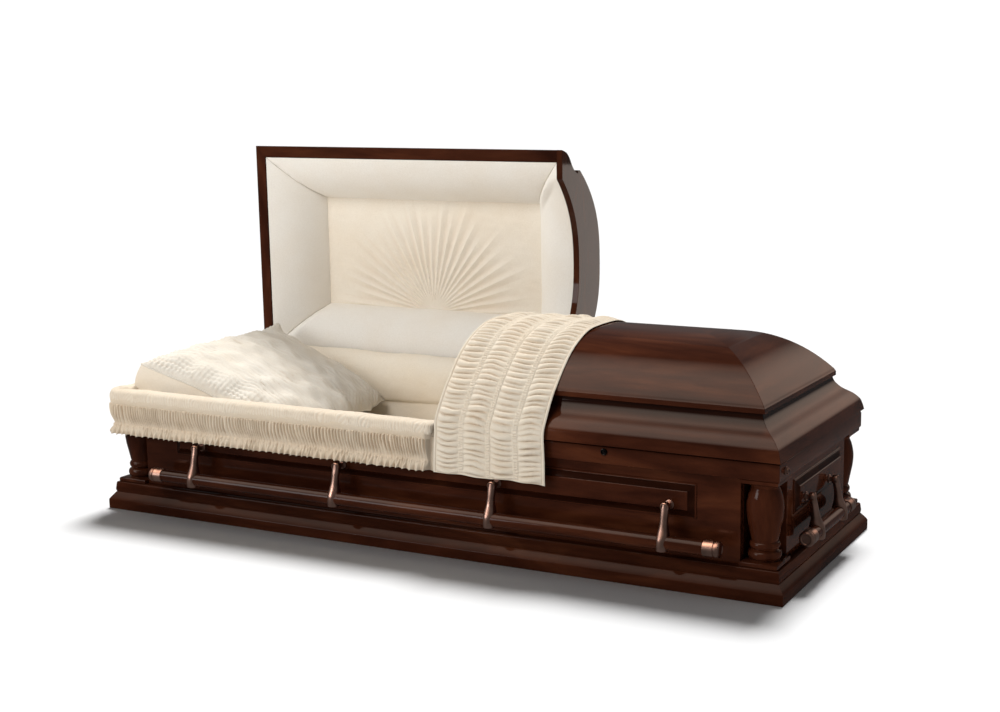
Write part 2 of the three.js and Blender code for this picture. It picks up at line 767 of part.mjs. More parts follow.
function addFittings() {
  const railMiddle = railBottom + railHeight / 2;
  const lock = roundFitting(lockRadius, lockDepth).rotateX(Math.PI / 2);
  addPiece(casket, 'lid_lock', lock, darkMetal()).position.set(lockX, -railHalfY, railMiddle + railHeight / 5);
  const key = roundFitting(keyRadius, keyDepth).rotateY(Math.PI / 2);
  addPiece(casket, 'key_fitting', key, copper()).position.set(railHalfX, keyY, railMiddle);
  addPiece(casket, 'head_lid_hinge', lidHinge(-rimHalfX, headLidEdge), copper());
  addPiece(casket, 'foot_lid_hinge', lidHinge(footLidEdge, rimHalfX), copper());
}

function addSoftGoods() {
  addPiece(casket, 'body_lining', bodyLining(), cream());
  addPiece(casket, 'mattress', mattress(), cream());
  addPiece(casket, 'ruffle', ruffle(), cream());
  const cushion = addPiece(casket, 'pillow', pillow(), cream());
  cushion.position.set(pillowFromHeadBoard - innerHalfX, pillowShiftY, mattressTop + pillowAboveMattress);
  cushion.rotation.y = THREE.MathUtils.degToRad(pillowTiltDegrees);
}

// The head lid is drawn shut and turned up about its hinge
function addHeadLid() {
  const hinge = new THREE.Group();
  hinge.position.set(0, hingeY, hingeZ);
  hinge.rotation.x = -THREE.MathUtils.degToRad(lidOpenDegrees);
  const lid = new THREE.Group();
  lid.position.set(0, -hingeY, -hingeZ);
  hinge.add(lid);
  casket.add(hinge);
  const inner = headLidEdge - headerThickness;
  addPiece(lid, 'head_lid_crown', crown(-farAway, inner - fitGap), wood());
  addPiece(lid, 'head_lid_rim', rim(-farAway, inner - fitGap), wood());
  addPiece(lid, 'head_lid_header', header(), wood()).position.x = inner;
  addPiece(lid, 'head_lid_lining', lidLining(), cream());
  addPiece(lid, 'head_lid_lining_panel', lidPanel(), cream());
}

function addFootLid() {
  const inner = footLidEdge + headerThickness;
  addPiece(casket, 'foot_lid_crown', crown(inner + fitGap, farAway), wood());
  addPiece(casket, 'foot_lid_rim', rim(inner + fitGap, farAway), wood());
  addPiece(casket, 'foot_lid_header', header(), wood()).position.x = footLidEdge;
  addPiece(casket, 'throw', throwCover(), cream());
}

addBody();
addPanels();
addColumns();
addFittings();
addSoftGoods();
addHeadLid();
addFootLid();
addHandle('front', 0, bodyHalfY, sidePivotStandoff, sideBarHalfLength, frontBarShift, sideArmPitch, sideArmCount);
addHandle('back', Math.PI, bodyHalfY, sidePivotStandoff, sideBarHalfLength, 0, sideArmPitch, sideArmCount);
addHandle('head', -Math.PI / 2, bodyHalfX, endPivotStandoff, endBarHalfLength, 0, endArmPitch, endArmCount);
addHandle('foot', Math.PI / 2, bodyHalfX, endPivotStandoff, endBarHalfLength, endBarShift, endArmPitch, endArmCount);

export default casket;
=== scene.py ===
"""Half-couch hardwood casket with swing-bar handles and a gathered fabric interior.

Metres. +X runs from the head end to the foot end, -Y is the viewer's side, +Z is up.
The lids are drawn shut; the pieces of the head lid are then turned up to their open place.
"""

import json
import math

import bmesh
import bpy
import numpy as np
from mathutils import Matrix, Vector

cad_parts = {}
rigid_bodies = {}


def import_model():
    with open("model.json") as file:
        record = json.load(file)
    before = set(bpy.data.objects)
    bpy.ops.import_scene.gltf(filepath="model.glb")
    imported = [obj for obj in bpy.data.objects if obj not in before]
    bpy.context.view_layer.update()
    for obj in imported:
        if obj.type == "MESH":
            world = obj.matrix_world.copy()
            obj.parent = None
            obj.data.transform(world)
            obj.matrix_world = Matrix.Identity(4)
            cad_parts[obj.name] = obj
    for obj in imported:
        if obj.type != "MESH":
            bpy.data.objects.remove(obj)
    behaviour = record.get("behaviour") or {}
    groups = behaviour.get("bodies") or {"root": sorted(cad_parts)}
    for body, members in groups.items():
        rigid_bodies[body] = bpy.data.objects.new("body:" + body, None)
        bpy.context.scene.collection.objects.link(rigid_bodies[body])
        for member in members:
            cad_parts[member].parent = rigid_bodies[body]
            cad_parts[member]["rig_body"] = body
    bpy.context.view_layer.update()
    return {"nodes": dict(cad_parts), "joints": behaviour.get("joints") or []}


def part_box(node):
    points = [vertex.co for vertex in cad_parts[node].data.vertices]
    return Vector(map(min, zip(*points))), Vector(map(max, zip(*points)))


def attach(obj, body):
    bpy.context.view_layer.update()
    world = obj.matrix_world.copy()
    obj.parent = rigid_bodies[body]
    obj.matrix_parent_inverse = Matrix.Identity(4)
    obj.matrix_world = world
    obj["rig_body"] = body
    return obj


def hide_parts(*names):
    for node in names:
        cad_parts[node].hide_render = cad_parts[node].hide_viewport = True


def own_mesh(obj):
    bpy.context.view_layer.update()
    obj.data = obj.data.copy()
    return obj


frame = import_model()
JOINTS = {joint["name"]: joint for joint in frame["joints"]}
SIDES = {"front": 0.0, "back": math.pi, "head": -math.pi / 2, "foot": math.pi / 2}

# Sizes read from the frame
BASE_HALF_X, BASE_HALF_Y, BASE_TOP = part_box("base_moulding")[1]
RAIL_HALF_X, RAIL_HALF_Y, RAIL_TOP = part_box("top_rail")[1]
RAIL_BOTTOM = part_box("top_rail")[0].z
RIM_HALF_X, RIM_HALF_Y, RIM_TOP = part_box("foot_lid_rim")[1]
RIM_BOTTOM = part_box("foot_lid_rim")[0].z
CROWN_HALF_X, CROWN_HALF_Y, CROWN_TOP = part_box("foot_lid_crown")[1]
CROWN_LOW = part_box("foot_lid_crown")[0].z
HEAD_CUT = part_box("head_lid_rim")[1].x
FOOT_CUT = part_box("foot_lid_rim")[0].x
HINGE = Vector(JOINTS["head_lid_hinge_turn"]["pos_m"])

# Wood mouldings
BAND_INSET = 0.017
BAND_BOTTOM = 0.050
FASCIA_TOP = 0.027
RING_WIDTH = 0.036
CORNER_BLOCK_X = (0.916, 1.010)
CORNER_BLOCK_Y = (0.218, 0.312)
RIM_THICKNESS = 0.024
RIM_LIP = 0.0365
CROWN_LIP = 0.014
CROWN_SHELL = 0.016
CROWN_CURVE = 2.6
RIDGE_HALF = 0.006
ARCH_HALF = 0.265
ARCH_HEIGHT = 0.105
ARCH_CURVE = 2.5
HEADER_THICKNESS = 0.020

# Handles
BAR_RADIUS = 0.0185
TIP_RADIUS = 0.0205
TIP_LENGTH = 0.044

# Fabric
ROLL_MARGIN = 0.038
ROLL_WIDTH = 0.137
ROLL_DEPTH = 0.145
ROLL_BULGE = 0.022
RUFFLE_THICKNESS = 0.021
RUFFLE_CORNER = 0.055
RUFFLE_FLANGE = 0.0362
# Section of the roll along the back, as y and z
BACK_ROLL = [(0.2880, 0.2500), (0.2740, 0.2620), (0.2650, 0.2850), (0.2590, 0.3150), (0.2575, 0.3450),
             (0.2610, 0.3680), (0.2720, 0.3890), (0.2900, 0.4020), (0.3110, 0.4055), (0.3290, 0.3960),
             (0.3395, 0.3780), (0.3405, 0.3560), (0.3360, 0.3446), (0.3220, 0.3442), (0.3060, 0.3442),
             (0.2960, 0.3400), (0.2930, 0.3200), (0.2925, 0.2800), (0.2880, 0.2500)]
# Section of the stuffed roll over the rail: in from the ruffle's face, and height
TOP_ROLL = [(0.0040, 0.3270), (0.0002, 0.3310), (-0.0010, 0.3400), (0.0010, 0.3500), (0.0070, 0.3575),
            (0.0170, 0.3605), (0.0300, 0.3600), (0.0430, 0.3595), (0.0530, 0.3560), (0.0570, 0.3500),
            (0.0560, 0.3440), (0.0480, 0.3437), (0.0300, 0.3437), (0.0206, 0.3430), (0.0204, 0.3350),
            (0.0150, 0.3280), (0.0040, 0.3270)]


def random_for(seed):
    return np.random.RandomState(seed)


def waves(a, b, size, seed, count=9):
    """Smooth noise from -1 to 1 over two coordinates, with features of about the given size."""
    rng = random_for(seed)
    total = np.zeros(np.broadcast(a, b).shape)
    for _ in range(count):
        angle = rng.uniform(0, math.pi)
        pitch = size * rng.uniform(0.7, 1.6)
        phase = rng.uniform(0, 2 * math.pi)
        total += np.sin((a * math.cos(angle) + b * math.sin(angle)) * 2 * math.pi / pitch + phase)
    return total / count ** 0.5 / 1.5


def smooth(low, high, value):
    share = np.clip((value - low) / (high - low), 0, 1)
    return share * share * (3 - 2 * share)


def spline(points, count):
    """A smooth line through the points, at even steps of their number."""
    pts = np.asarray(points, float)
    last = len(pts) - 1
    line = []
    for k in range(count + 1):
        place = last * k / count
        i = min(int(place), last - 1)
        t = place - i
        p0, p1, p2, p3 = pts[max(i - 1, 0)], pts[i], pts[i + 1], pts[min(i + 2, last)]
        v0, v1 = (p2 - p0) / 2, (p3 - p1) / 2
        cubic = 2 * p1 - 2 * p2 + v0 + v1
        square = -3 * p1 + 3 * p2 - 2 * v0 - v1
        line.append(cubic * t ** 3 + square * t ** 2 + v0 * t + p1)
    return np.array(line)


def grid_faces(rows, cols, wrap_rows=False, wrap_cols=False):
    faces = []
    for i in range(rows if wrap_rows else rows - 1):
        for j in range(cols if wrap_cols else cols - 1):
            k, m = (i + 1) % rows, (j + 1) % cols
            faces.append((i * cols + j, k * cols + j, k * cols + m, i * cols + m))
    return faces


class Shape:
    """Vertices and faces gathered piece by piece, with a material number for each face."""

    def __init__(self):
        self.verts = []
        self.faces = []
        self.marks = []

    def add(self, verts, faces, mark=0, place=None):
        start = len(self.verts)
        points = np.asarray(verts, float).reshape(-1, 3)
        if place is not None:
            matrix = np.array(place)
            points = points @ matrix[:3, :3].T + matrix[:3, 3]
        self.verts.extend(points.tolist())
        for i, face in enumerate(faces):
            self.faces.append([start + k for k in face])
            self.marks.append(int(mark if np.isscalar(mark) else mark[i]))
        return self

    def box(self, low, high, mark=0, place=None):
        x, y, z = zip(low, high)
        verts = [(x[i], y[j], z[k]) for i in (0, 1) for j in (0, 1) for k in (0, 1)]
        faces = [(0, 1, 3, 2), (4, 6, 7, 5), (0, 4, 5, 1), (2, 3, 7, 6), (0, 2, 6, 4), (1, 5, 7, 3)]
        return self.add(verts, faces, mark, place)

    def ring(self, outline, profile):
        """A mitred moulding; its runs along X take material 0 and those along Y material 1."""
        verts, marks = [], []
        n = len(outline)
        for i, corner in enumerate(outline):
            before, after = outline[i - 1], outline[(i + 1) % n]
            into_x = -np.sign(corner[1] - before[1]) - np.sign(after[1] - corner[1])
            into_y = np.sign(corner[0] - before[0]) + np.sign(after[0] - corner[0])
            verts += [(corner[0] + into_x * inset, corner[1] + into_y * inset, z) for inset, z in profile]
            marks += [int(abs(after[1] - corner[1]) > 1e-9)] * len(profile)
        return self.add(verts, grid_faces(n, len(profile), True, True), marks)

    def stack(self, half_x, half_y, profile, place=None):
        """Rectangles one above the other, each inset from the first, closed at both ends."""
        verts = []
        for inset, z in profile:
            x, y = half_x - inset, half_y - inset
            verts += [(-x, -y, z), (x, -y, z), (x, y, z), (-x, y, z)]
        n = len(profile)
        faces = grid_faces(n, 4, False, True)
        marks = [0, 1, 0, 1] * (n - 1)
        faces += [(0, 1, 2, 3), tuple(4 * (n - 1) + k for k in (3, 2, 1, 0))]
        return self.add(verts, faces, marks + [0, 0], place)

    def lathe(self, profile, sides, mark=0, place=None):
        """A turned form round its Z axis."""
        profile = np.asarray(profile, float)
        angle = np.linspace(0, 2 * math.pi, sides, endpoint=False)
        verts = [(r * math.cos(a), r * math.sin(a), z) for a in angle for r, z in profile]
        return self.add(verts, grid_faces(sides, len(profile), True, False), mark, place)

    def tube(self, loops, mark=0, place=None):
        """Closed loops of equal length, one after the other, with both ends closed."""
        loops = np.asarray(loops, float)
        n, m = loops.shape[:2]
        faces = grid_faces(n, m, False, True)
        faces += [tuple(range(m)), tuple((n - 1) * m + k for k in reversed(range(m)))]
        return self.add(loops, faces, mark, place)

    def opened(self):
        """Turns a piece of the head lid from its shut place to its open one."""
        pts = np.array(self.verts)
        dy, dz = pts[:, 1] - HINGE.y, pts[:, 2] - HINGE.z
        self.verts = np.stack([pts[:, 0], HINGE.y + dz, HINGE.z - dy], axis=1).tolist()
        return self


def build(name, shape, materials, body, crease=30.0, weld=True, painted_shade=None):
    """Makes the piece. The last argument gives, for each vertex, from 0 to 1, how much shade is painted into
    its colour in a fold or a recess; it is stored as the fold attribute.
    """
    mesh = bpy.data.meshes.new(name)
    mesh.from_pydata(shape.verts, [], shape.faces)
    if painted_shade is not None:
        depths = np.zeros(len(shape.verts), np.float32)
        depths[:np.size(painted_shade)] = np.clip(np.ravel(painted_shade), 0, 1)
        mesh.attributes.new("fold", "FLOAT", "POINT").data.foreach_set("value", depths)
    for material in materials:
        mesh.materials.append(material)
    mesh.polygons.foreach_set("material_index", np.array(shape.marks, np.int32))
    work = bmesh.new()
    work.from_mesh(mesh)
    if weld:
        bmesh.ops.remove_doubles(work, verts=work.verts, dist=1e-6)
    bmesh.ops.recalc_face_normals(work, faces=work.faces)
    work.to_mesh(mesh)
    work.free()
    mesh.shade_smooth()
    mesh.set_sharp_from_angle(angle=math.radians(crease))
    obj = bpy.data.objects.new(name, mesh)
    bpy.context.scene.collection.objects.link(obj)
    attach(obj, body)
    return obj


def soften(obj, width=0.0012, segments=2):
    """Small rounds on the hard edges, so that they catch the light."""
    bevel = obj.modifiers.new("edge rounds", "BEVEL")
    bevel.width = width
    bevel.segments = segments
    bevel.limit_method = "ANGLE"
    bevel.angle_limit = math.radians(32)
    bevel.harden_normals = True
    return obj


def cut_across(shape, x, keep_low):
    """Keeps the part of the shape on one side of a plane across X, and closes the cut."""
    mesh = bpy.data.meshes.new("cut")
    mesh.from_pydata(shape.verts, [], shape.faces)
    mesh.polygons.foreach_set("material_index", np.array(shape.marks, np.int32))
    work = bmesh.new()
    work.from_mesh(mesh)
    bmesh.ops.remove_doubles(work, verts=work.verts, dist=1e-7)
    everything = work.verts[:] + work.edges[:] + work.faces[:]
    normal = (1, 0, 0) if keep_low else (-1, 0, 0)
    bmesh.ops.bisect_plane(work, geom=everything, plane_co=(x, 0, 0), plane_no=normal, clear_outer=True)
    bmesh.ops.holes_fill(work, edges=[edge for edge in work.edges if edge.is_boundary])
    work.to_mesh(mesh)
    work.free()
    result = Shape()
    result.add([v.co for v in mesh.vertices], [tuple(p.vertices) for p in mesh.polygons],
               [p.material_index for p in mesh.polygons])
    bpy.data.meshes.remove(mesh)
    return result


# Materials

def new_material(name):
    material = bpy.data.materials.new(name)
    material.use_nodes = True
    nodes = material.node_tree.nodes
    return material, material.node_tree, nodes["Principled BSDF"]


def link(tree, source, target):
    tree.links.new(source, target)


def noise(tree, vector, scale, detail=4.0, distortion=0.0):
    node = tree.nodes.new("ShaderNodeTexNoise")
    node.inputs["Scale"].default_value = scale
    node.inputs["Detail"].default_value = detail
    node.inputs["Distortion"].default_value = distortion
    link(tree, vector, node.inputs["Vector"])
    return node.outputs["Fac"]


def ramp(tree, value, stops):
    node = tree.nodes.new("ShaderNodeValToRGB")
    elements = node.color_ramp.elements
    while len(elements) < len(stops):
        elements.new(0.5)
    for element, (place, colour) in zip(elements, stops):
        element.position = place
        element.color = (*colour, 1)
    link(tree, value, node.inputs["Fac"])
    return node.outputs["Color"]


def bump(tree, height, strength, distance, before=None):
    node = tree.nodes.new("ShaderNodeBump")
    node.inputs["Strength"].default_value = strength
    node.inputs["Distance"].default_value = distance
    link(tree, height, node.inputs["Height"])
    if before is not None:
        link(tree, before, node.inputs["Normal"])
    return node.outputs["Normal"]


def stretched(tree, scale):
    """Object coordinates, scaled by axis."""
    place = tree.nodes.new("ShaderNodeTexCoord")
    mapping = tree.nodes.new("ShaderNodeMapping")
    mapping.inputs["Scale"].default_value = scale
    link(tree, place.outputs["Object"], mapping.inputs["Vector"])
    return mapping.outputs["Vector"]


def mix_colours(tree, share, first, second, mode="MIX"):
    node = tree.nodes.new("ShaderNodeMix")
    node.data_type = "RGBA"
    node.blend_type = mode
    for value, socket in ((share, 0), (first, 6), (second, 7)):
        if isinstance(value, (int, float)):
            node.inputs[socket].default_value = value
        elif isinstance(value, tuple):
            node.inputs[socket].default_value = (*value, 1)
        else:
            link(tree, value, node.inputs[socket])
    return node.outputs[2]


SURROUND = 0.155
# Bright parts of the surround: direction, cosines where each starts and is full, colour
PATCHES = [
    ((-0.42, -0.30, 0.86), 0.86, 0.975, (5.2, 4.2, 3.5)),
    ((0.24, 0.92, 0.32), 0.970, 0.996, (1.35, 1.0, 0.80)),
]
GRAIN_ALONG = 1.8
GRAIN_ACROSS = 10.0
WOOD_DARK = (0.027, 0.0068, 0.0030)
WOOD_MID = (0.048, 0.0130, 0.0056)
WOOD_RED = (0.080, 0.0240, 0.0098)
# Near-black brown painted into the cove at the top of the lid rims as shade
PAINTED_COVE_SHADE = (0.006, 0.0018, 0.0010)


def wood_material(name, axis, depth=1.0, coat=1.0):
    material, tree, shader = new_material(name)
    scale = [GRAIN_ACROSS] * 3
    scale[axis] = GRAIN_ALONG
    fine = [s * 6 for s in scale]
    figure = noise(tree, stretched(tree, scale), 1.0, 5.0, 1.6)
    pores = noise(tree, stretched(tree, fine), 1.0, 3.0, 0.2)
    cloud = noise(tree, stretched(tree, (1.6, 1.6, 1.6)), 1.0, 2.0)
    tones = [tuple(c * depth for c in tone) for tone in (WOOD_DARK, WOOD_MID, WOOD_RED)]
    grain = ramp(tree, figure, list(zip((0.30, 0.52, 0.74), tones)))
    shade = ramp(tree, pores, [(0.35, (0.82, 0.79, 0.78)), (0.60, (1.0, 1.0, 1.0))])
    mottle = ramp(tree, cloud, [(0.35, (0.72, 0.70, 0.70)), (0.65, (1.12, 1.08, 1.05))])
    colour = mix_colours(tree, 1.0, grain, shade, "MULTIPLY")
    colour = mix_colours(tree, 1.0, colour, mottle, "MULTIPLY")
    # Painted shade: the colour darkens towards near-black where the fold attribute is set, which is the cove
    # at the top of the lid rims
    recess = tree.nodes.new("ShaderNodeAttribute")
    recess.attribute_name = "fold"
    link(tree, mix_colours(tree, recess.outputs["Fac"], colour, PAINTED_COVE_SHADE), shader.inputs["Base Color"])
    rough = ramp(tree, pores, [(0.3, (0.42, 0.42, 0.42)), (0.7, (0.30, 0.30, 0.30))])
    link(tree, rough, shader.inputs["Roughness"])
    shader.inputs["Specular IOR Level"].default_value = 0.0
    shader.inputs["Coat Weight"].default_value = coat
    shader.inputs["Coat Roughness"].default_value = 0.07
    shader.inputs["Coat IOR"].default_value = 1.22
    ripple = noise(tree, stretched(tree, (9, 9, 9)), 1.0, 2.0)
    surface = bump(tree, ripple, 0.10, 0.002)
    link(tree, surface, shader.inputs["Coat Normal"])
    link(tree, bump(tree, pores, 0.12, 0.0004), shader.inputs["Normal"])
    return material


def copper_material(name, colour, roughness):
    material, tree, shader = new_material(name)
    tarnish = noise(tree, stretched(tree, (30, 30, 30)), 1.0, 5.0)
    scratches = noise(tree, stretched(tree, (60, 900, 900)), 1.0, 2.0)
    darker = tuple(c * 0.62 for c in colour)
    link(tree, ramp(tree, tarnish, [(0.35, darker), (0.62, colour)]), shader.inputs["Base Color"])
    low, high = roughness - 0.06, roughness + 0.08
    link(tree, ramp(tree, tarnish, [(0.3, (high,) * 3), (0.7, (low,) * 3)]), shader.inputs["Roughness"])
    shader.inputs["Metallic"].default_value = 1.0
    link(tree, bump(tree, scratches, 0.06, 0.0003), shader.inputs["Normal"])
    return material


CREAM = (0.870, 0.832, 0.768)
CREAM_WARM = (0.855, 0.802, 0.722)
# Warm brown painted into the creases and hollows of the cloth as shade
PAINTED_CREASE_SHADE = (0.55, 0.39, 0.26)


def fabric_material(name, light, warm, weave, depth):
    """Crepe: a fine uneven thread in both directions over soft colour changes."""
    material, tree, shader = new_material(name)
    threads_x = noise(tree, stretched(tree, (weave * 0.35, weave, weave)), 1.0, 3.0, 0.6)
    threads_z = noise(tree, stretched(tree, (weave, weave * 0.35, weave * 0.35)), 1.0, 3.0, 0.6)
    cloud = noise(tree, stretched(tree, (7, 7, 7)), 1.0, 3.0)
    base = ramp(tree, cloud, [(0.30, warm), (0.62, light)])
    thread_colour = ramp(tree, threads_x, [(0.35, (0.90, 0.885, 0.86)), (0.60, (1.0, 1.0, 1.0))])
    base = mix_colours(tree, 1.0, base, thread_colour, "MULTIPLY")
    # Painted shade: the colour goes towards a warm brown where the fold attribute is set, in creases and
    # hollows
    fold = tree.nodes.new("ShaderNodeAttribute")
    fold.attribute_name = "fold"
    link(tree, mix_colours(tree, fold.outputs["Fac"], base, PAINTED_CREASE_SHADE), shader.inputs["Base Color"])
    shader.inputs["Roughness"].default_value = 0.78
    shader.inputs["Specular IOR Level"].default_value = 0.28
    shader.inputs["Sheen Weight"].default_value = 0.12
    shader.inputs["Sheen Roughness"].default_value = 0.45
    shader.inputs["Sheen Tint"].default_value = (1.0, 0.94, 0.86, 1)
    first = bump(tree, threads_x, depth, 0.0008)
    link(tree, bump(tree, threads_z, depth, 0.0008, first), shader.inputs["Normal"])
    return material


def dark_metal_material():
    material, tree, shader = new_material("dark metal")
    wear = noise(tree, stretched(tree, (260, 260, 260)), 1.0, 4.0)
    link(tree, ramp(tree, wear, [(0.35, (0.010, 0.009, 0.009)), (0.7, (0.035, 0.031, 0.030))]),
         shader.inputs["Base Color"])
    link(tree, ramp(tree, wear, [(0.3, (0.28,) * 3), (0.7, (0.42,) * 3)]), shader.inputs["Roughness"])
    shader.inputs["Metallic"].default_value = 1.0
    return material


WOOD_X = wood_material("wood along x", 0)
WOOD_Y = wood_material("wood along y", 1)
WOOD_Z = wood_material("wood along z", 2)
# A darker copy of the wood, with half the coat, painted as shade on the raised panels' bevels
WOOD_WITH_PAINTED_SHADE = wood_material("wood, darkened as painted shade", 0, 0.35, 0.5)
PLINTH_WOODS = [
    wood_material("plinth wood along x", 0, 0.95, 0.45),
    wood_material("plinth wood along y", 1, 0.95, 0.45),
]
WOODS = [WOOD_X, WOOD_Y]
COPPER = copper_material("copper", (0.47, 0.285, 0.225), 0.33)
HINGE_METAL = copper_material("hinge metal", (0.62, 0.46, 0.36), 0.34)
DARK_METAL = dark_metal_material()
# The six crepes below are one cream cloth, each painted lighter, darker or warmer for the parts it covers, to
# stand in for the light and shade those parts get: the walls, back roll and bed painted lighter; the pillow,
# throw and ruffle painted darker; the sunburst panel and the pillow's sides painted warmer
CREPE = fabric_material("lining crepe", CREAM, CREAM_WARM, 900, 0.20)
PEACH = fabric_material("warmer lining crepe", (0.845, 0.768, 0.655), (0.828, 0.735, 0.608), 900, 0.20)
SHIRRED = fabric_material("shirred crepe", (0.770, 0.725, 0.645), (0.755, 0.695, 0.600), 1300, 0.28)
DRAPED = fabric_material("draped crepe", (0.735, 0.655, 0.540), (0.720, 0.625, 0.500), 1300, 0.28)
WALLS = fabric_material("wall crepe", (0.915, 0.830, 0.700), (0.905, 0.805, 0.660), 900, 0.20)
RUFFLED = fabric_material("ruffled crepe", (0.650, 0.555, 0.435), (0.635, 0.525, 0.395), 1300, 0.28)


# Wood of the body

def rectangle(half_x, half_y):
    return [(-half_x, -half_y), (half_x, -half_y), (half_x, half_y), (-half_x, half_y)]


def add_corner_blocks(shape, low_z, high_z):
    """The four blocks that the columns stand on or hang from."""
    for side_x in (-1, 1):
        for side_y in (-1, 1):
            xs = sorted(side_x * place for place in CORNER_BLOCK_X)
            ys = sorted(side_y * place for place in CORNER_BLOCK_Y)
            shape.box((xs[0], ys[0], low_z), (xs[1], ys[1], high_z))


def add_base():
    cove = spline([(0.0, FASCIA_TOP), (BAND_INSET * 0.35, FASCIA_TOP + 0.009), (BAND_INSET, BAND_BOTTOM)], 14)
    round_over = [(BAND_INSET + 0.006 * (1 - math.cos(a)), BASE_TOP - 0.006 * (1 - math.sin(a)))
                  for a in np.linspace(0, math.pi / 2, 7)]
    profile = [(0.0012, 0.0), (0.0, 0.0012), (0.0, FASCIA_TOP - 0.0008), *cove[1:-1],
               (BAND_INSET, BAND_BOTTOM - 0.001), (BAND_INSET - 0.0015, BAND_BOTTOM + 0.0035),
               (BAND_INSET - 0.002, BAND_BOTTOM + 0.008), *round_over,
               (0.056, BASE_TOP), (0.056, 0.0)]
    shape = Shape().ring(rectangle(BASE_HALF_X, BASE_HALF_Y), profile)
    add_corner_blocks(shape, 0.0, BASE_TOP)
    base = build("base_plinth", shape, PLINTH_WOODS, "root", 34)
    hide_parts("base_moulding")


def add_rail():
    profile = [(0.003, RAIL_BOTTOM), (0.0012, RAIL_BOTTOM + 0.0008), (0.0, RAIL_BOTTOM + 0.003),
               (0.0, RAIL_TOP - 0.005), (0.0008, RAIL_TOP - 0.0022), (0.0024, RAIL_TOP - 0.0006),
               (0.005, RAIL_TOP), (RING_WIDTH, RAIL_TOP), (RING_WIDTH, RAIL_BOTTOM)]
    shape = Shape().ring(rectangle(RAIL_HALF_X, RAIL_HALF_Y), profile)
    add_corner_blocks(shape, RAIL_BOTTOM, RAIL_TOP)
    rail = build("body_rail", shape, WOODS, "root", 34)
    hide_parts("top_rail")


def board_copy(node, materials, width=0.0014):
    """The node's own form with small rounds on its edges."""
    source = frame["nodes"][node].data
    mesh = source.copy()
    work = bmesh.new()
    work.from_mesh(mesh)
    bmesh.ops.remove_doubles(work, verts=work.verts, dist=1e-6)
    bmesh.ops.dissolve_limit(work, angle_limit=math.radians(1), verts=work.verts, edges=work.edges)
    shape = Shape()
    work.verts.ensure_lookup_table()
    work.verts.index_update()
    faces = [[v.index for v in face.verts] for face in work.faces]
    shape.add([v.co for v in work.verts], faces)
    work.free()
    bpy.data.meshes.remove(mesh)
    body = frame["nodes"][node]["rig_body"]
    obj = build(node + "_wood", shape, materials, body, 30)
    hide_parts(node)
    return soften(obj, width)


def add_boards():
    for node in ("front_board", "back_board"):
        board_copy(node, [WOOD_X])
    for node in ("head_board", "foot_board"):
        board_copy(node, [WOOD_Y])
    bottom = frame["nodes"]["bottom_board"]
    bottom.data.materials.clear()
    bottom.data.materials.append(WOOD_X)


def add_panels():
    profile = [(0.0, 0.0003), (0.0, 0.0018), (0.0008, 0.0026), (0.0035, 0.0028), (0.0042, 0.0034)]
    profile += [(0.0042 + 0.0158 * t, 0.0034 + 0.0052 * t ** 1.25) for t in np.linspace(0.15, 1, 7)]
    profile += [(0.0206, 0.0096), (0.0218, 0.0106), (0.0240, 0.0110), (0.0275, 0.0110)]
    for side, turn in SIDES.items():
        low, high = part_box(f"{side}_panel")
        centre = (low + high) / 2
        size = high - low
        along_x = side in ("front", "back")
        half_length = (size.x if along_x else size.y) / 2
        facing = Matrix.Rotation(turn, 4, "Z") @ Matrix.Rotation(math.pi / 2, 4, "X")
        wall = {"front": (centre.x, high.y + 0.0003), "back": (centre.x, low.y - 0.0003),
                "head": (high.x + 0.0003, centre.y), "foot": (low.x - 0.0003, centre.y)}[side]
        place = Matrix.Translation((wall[0], wall[1], centre.z)) @ facing
        shape = Shape().stack(half_length, size.z / 2, profile, place)
        # Painted shade: the bevel's faces take the darker wood
        shape.marks[4 * 4:4 * 12] = [2] * 32
        panel = build(f"{side}_raised_panel", shape, [WOOD_X if along_x else WOOD_Y, WOOD_Z, WOOD_WITH_PAINTED_SHADE],
                      "root", 22)
        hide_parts(f"{side}_panel")


def add_columns():
    for end in ("head", "foot"):
        for side in ("front", "back"):
            node = f"column_{end}_{side}"
            low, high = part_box(node)
            centre = (low + high) / 2
            bottom, top = low.z + 0.012, high.z - 0.012
            vase = spline([(0.0345, bottom + 0.053), (0.0385, bottom + 0.074), (0.0450, bottom + 0.108),
                           (0.0465, bottom + 0.136), (0.0420, bottom + 0.162), (0.0350, top - 0.013)], 26)
            torus = [(0.036 + 0.0065 * math.sin(a), bottom + 0.014 - 0.0105 * math.cos(a))
                     for a in np.linspace(0, math.pi, 9)]
            ring = [(0.0325 + 0.0060 * math.sin(a), bottom + 0.038 - 0.0090 * math.cos(a))
                    for a in np.linspace(0.1, math.pi - 0.1, 9)]
            profile = [(0, bottom - 0.001), (0.037, bottom - 0.001), (0.037, bottom + 0.003), *torus,
                       (0.0335, bottom + 0.0265), (0.0325, bottom + 0.028), *ring, (0.0330, bottom + 0.0485),
                       *vase, (0.0352, top - 0.010), (0.0375, top - 0.008), (0.0385, top - 0.004),
                       (0.0375, top + 0.001), (0, top + 0.001)]
            shape = Shape().lathe(profile, 56, 0, Matrix.Translation((centre.x, centre.y, 0)))
            half = (high.x - low.x) / 2
            plate = [(0.0015, 0.0), (0.0, 0.0015), (0.0, 0.0085), (0.0012, 0.0105), (0.0045, 0.012)]
            shape.stack(half, half, plate, Matrix.Translation((centre.x, centre.y, low.z)))
            over = Matrix.Translation((centre.x, centre.y, high.z)) @ Matrix.Rotation(math.pi, 4, "X")
            shape.stack(half, half, plate, over)
            column = build(f"turned_{node}", shape, [WOOD_Z, WOOD_Z], "root", 36)
            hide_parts(node)


# Lids

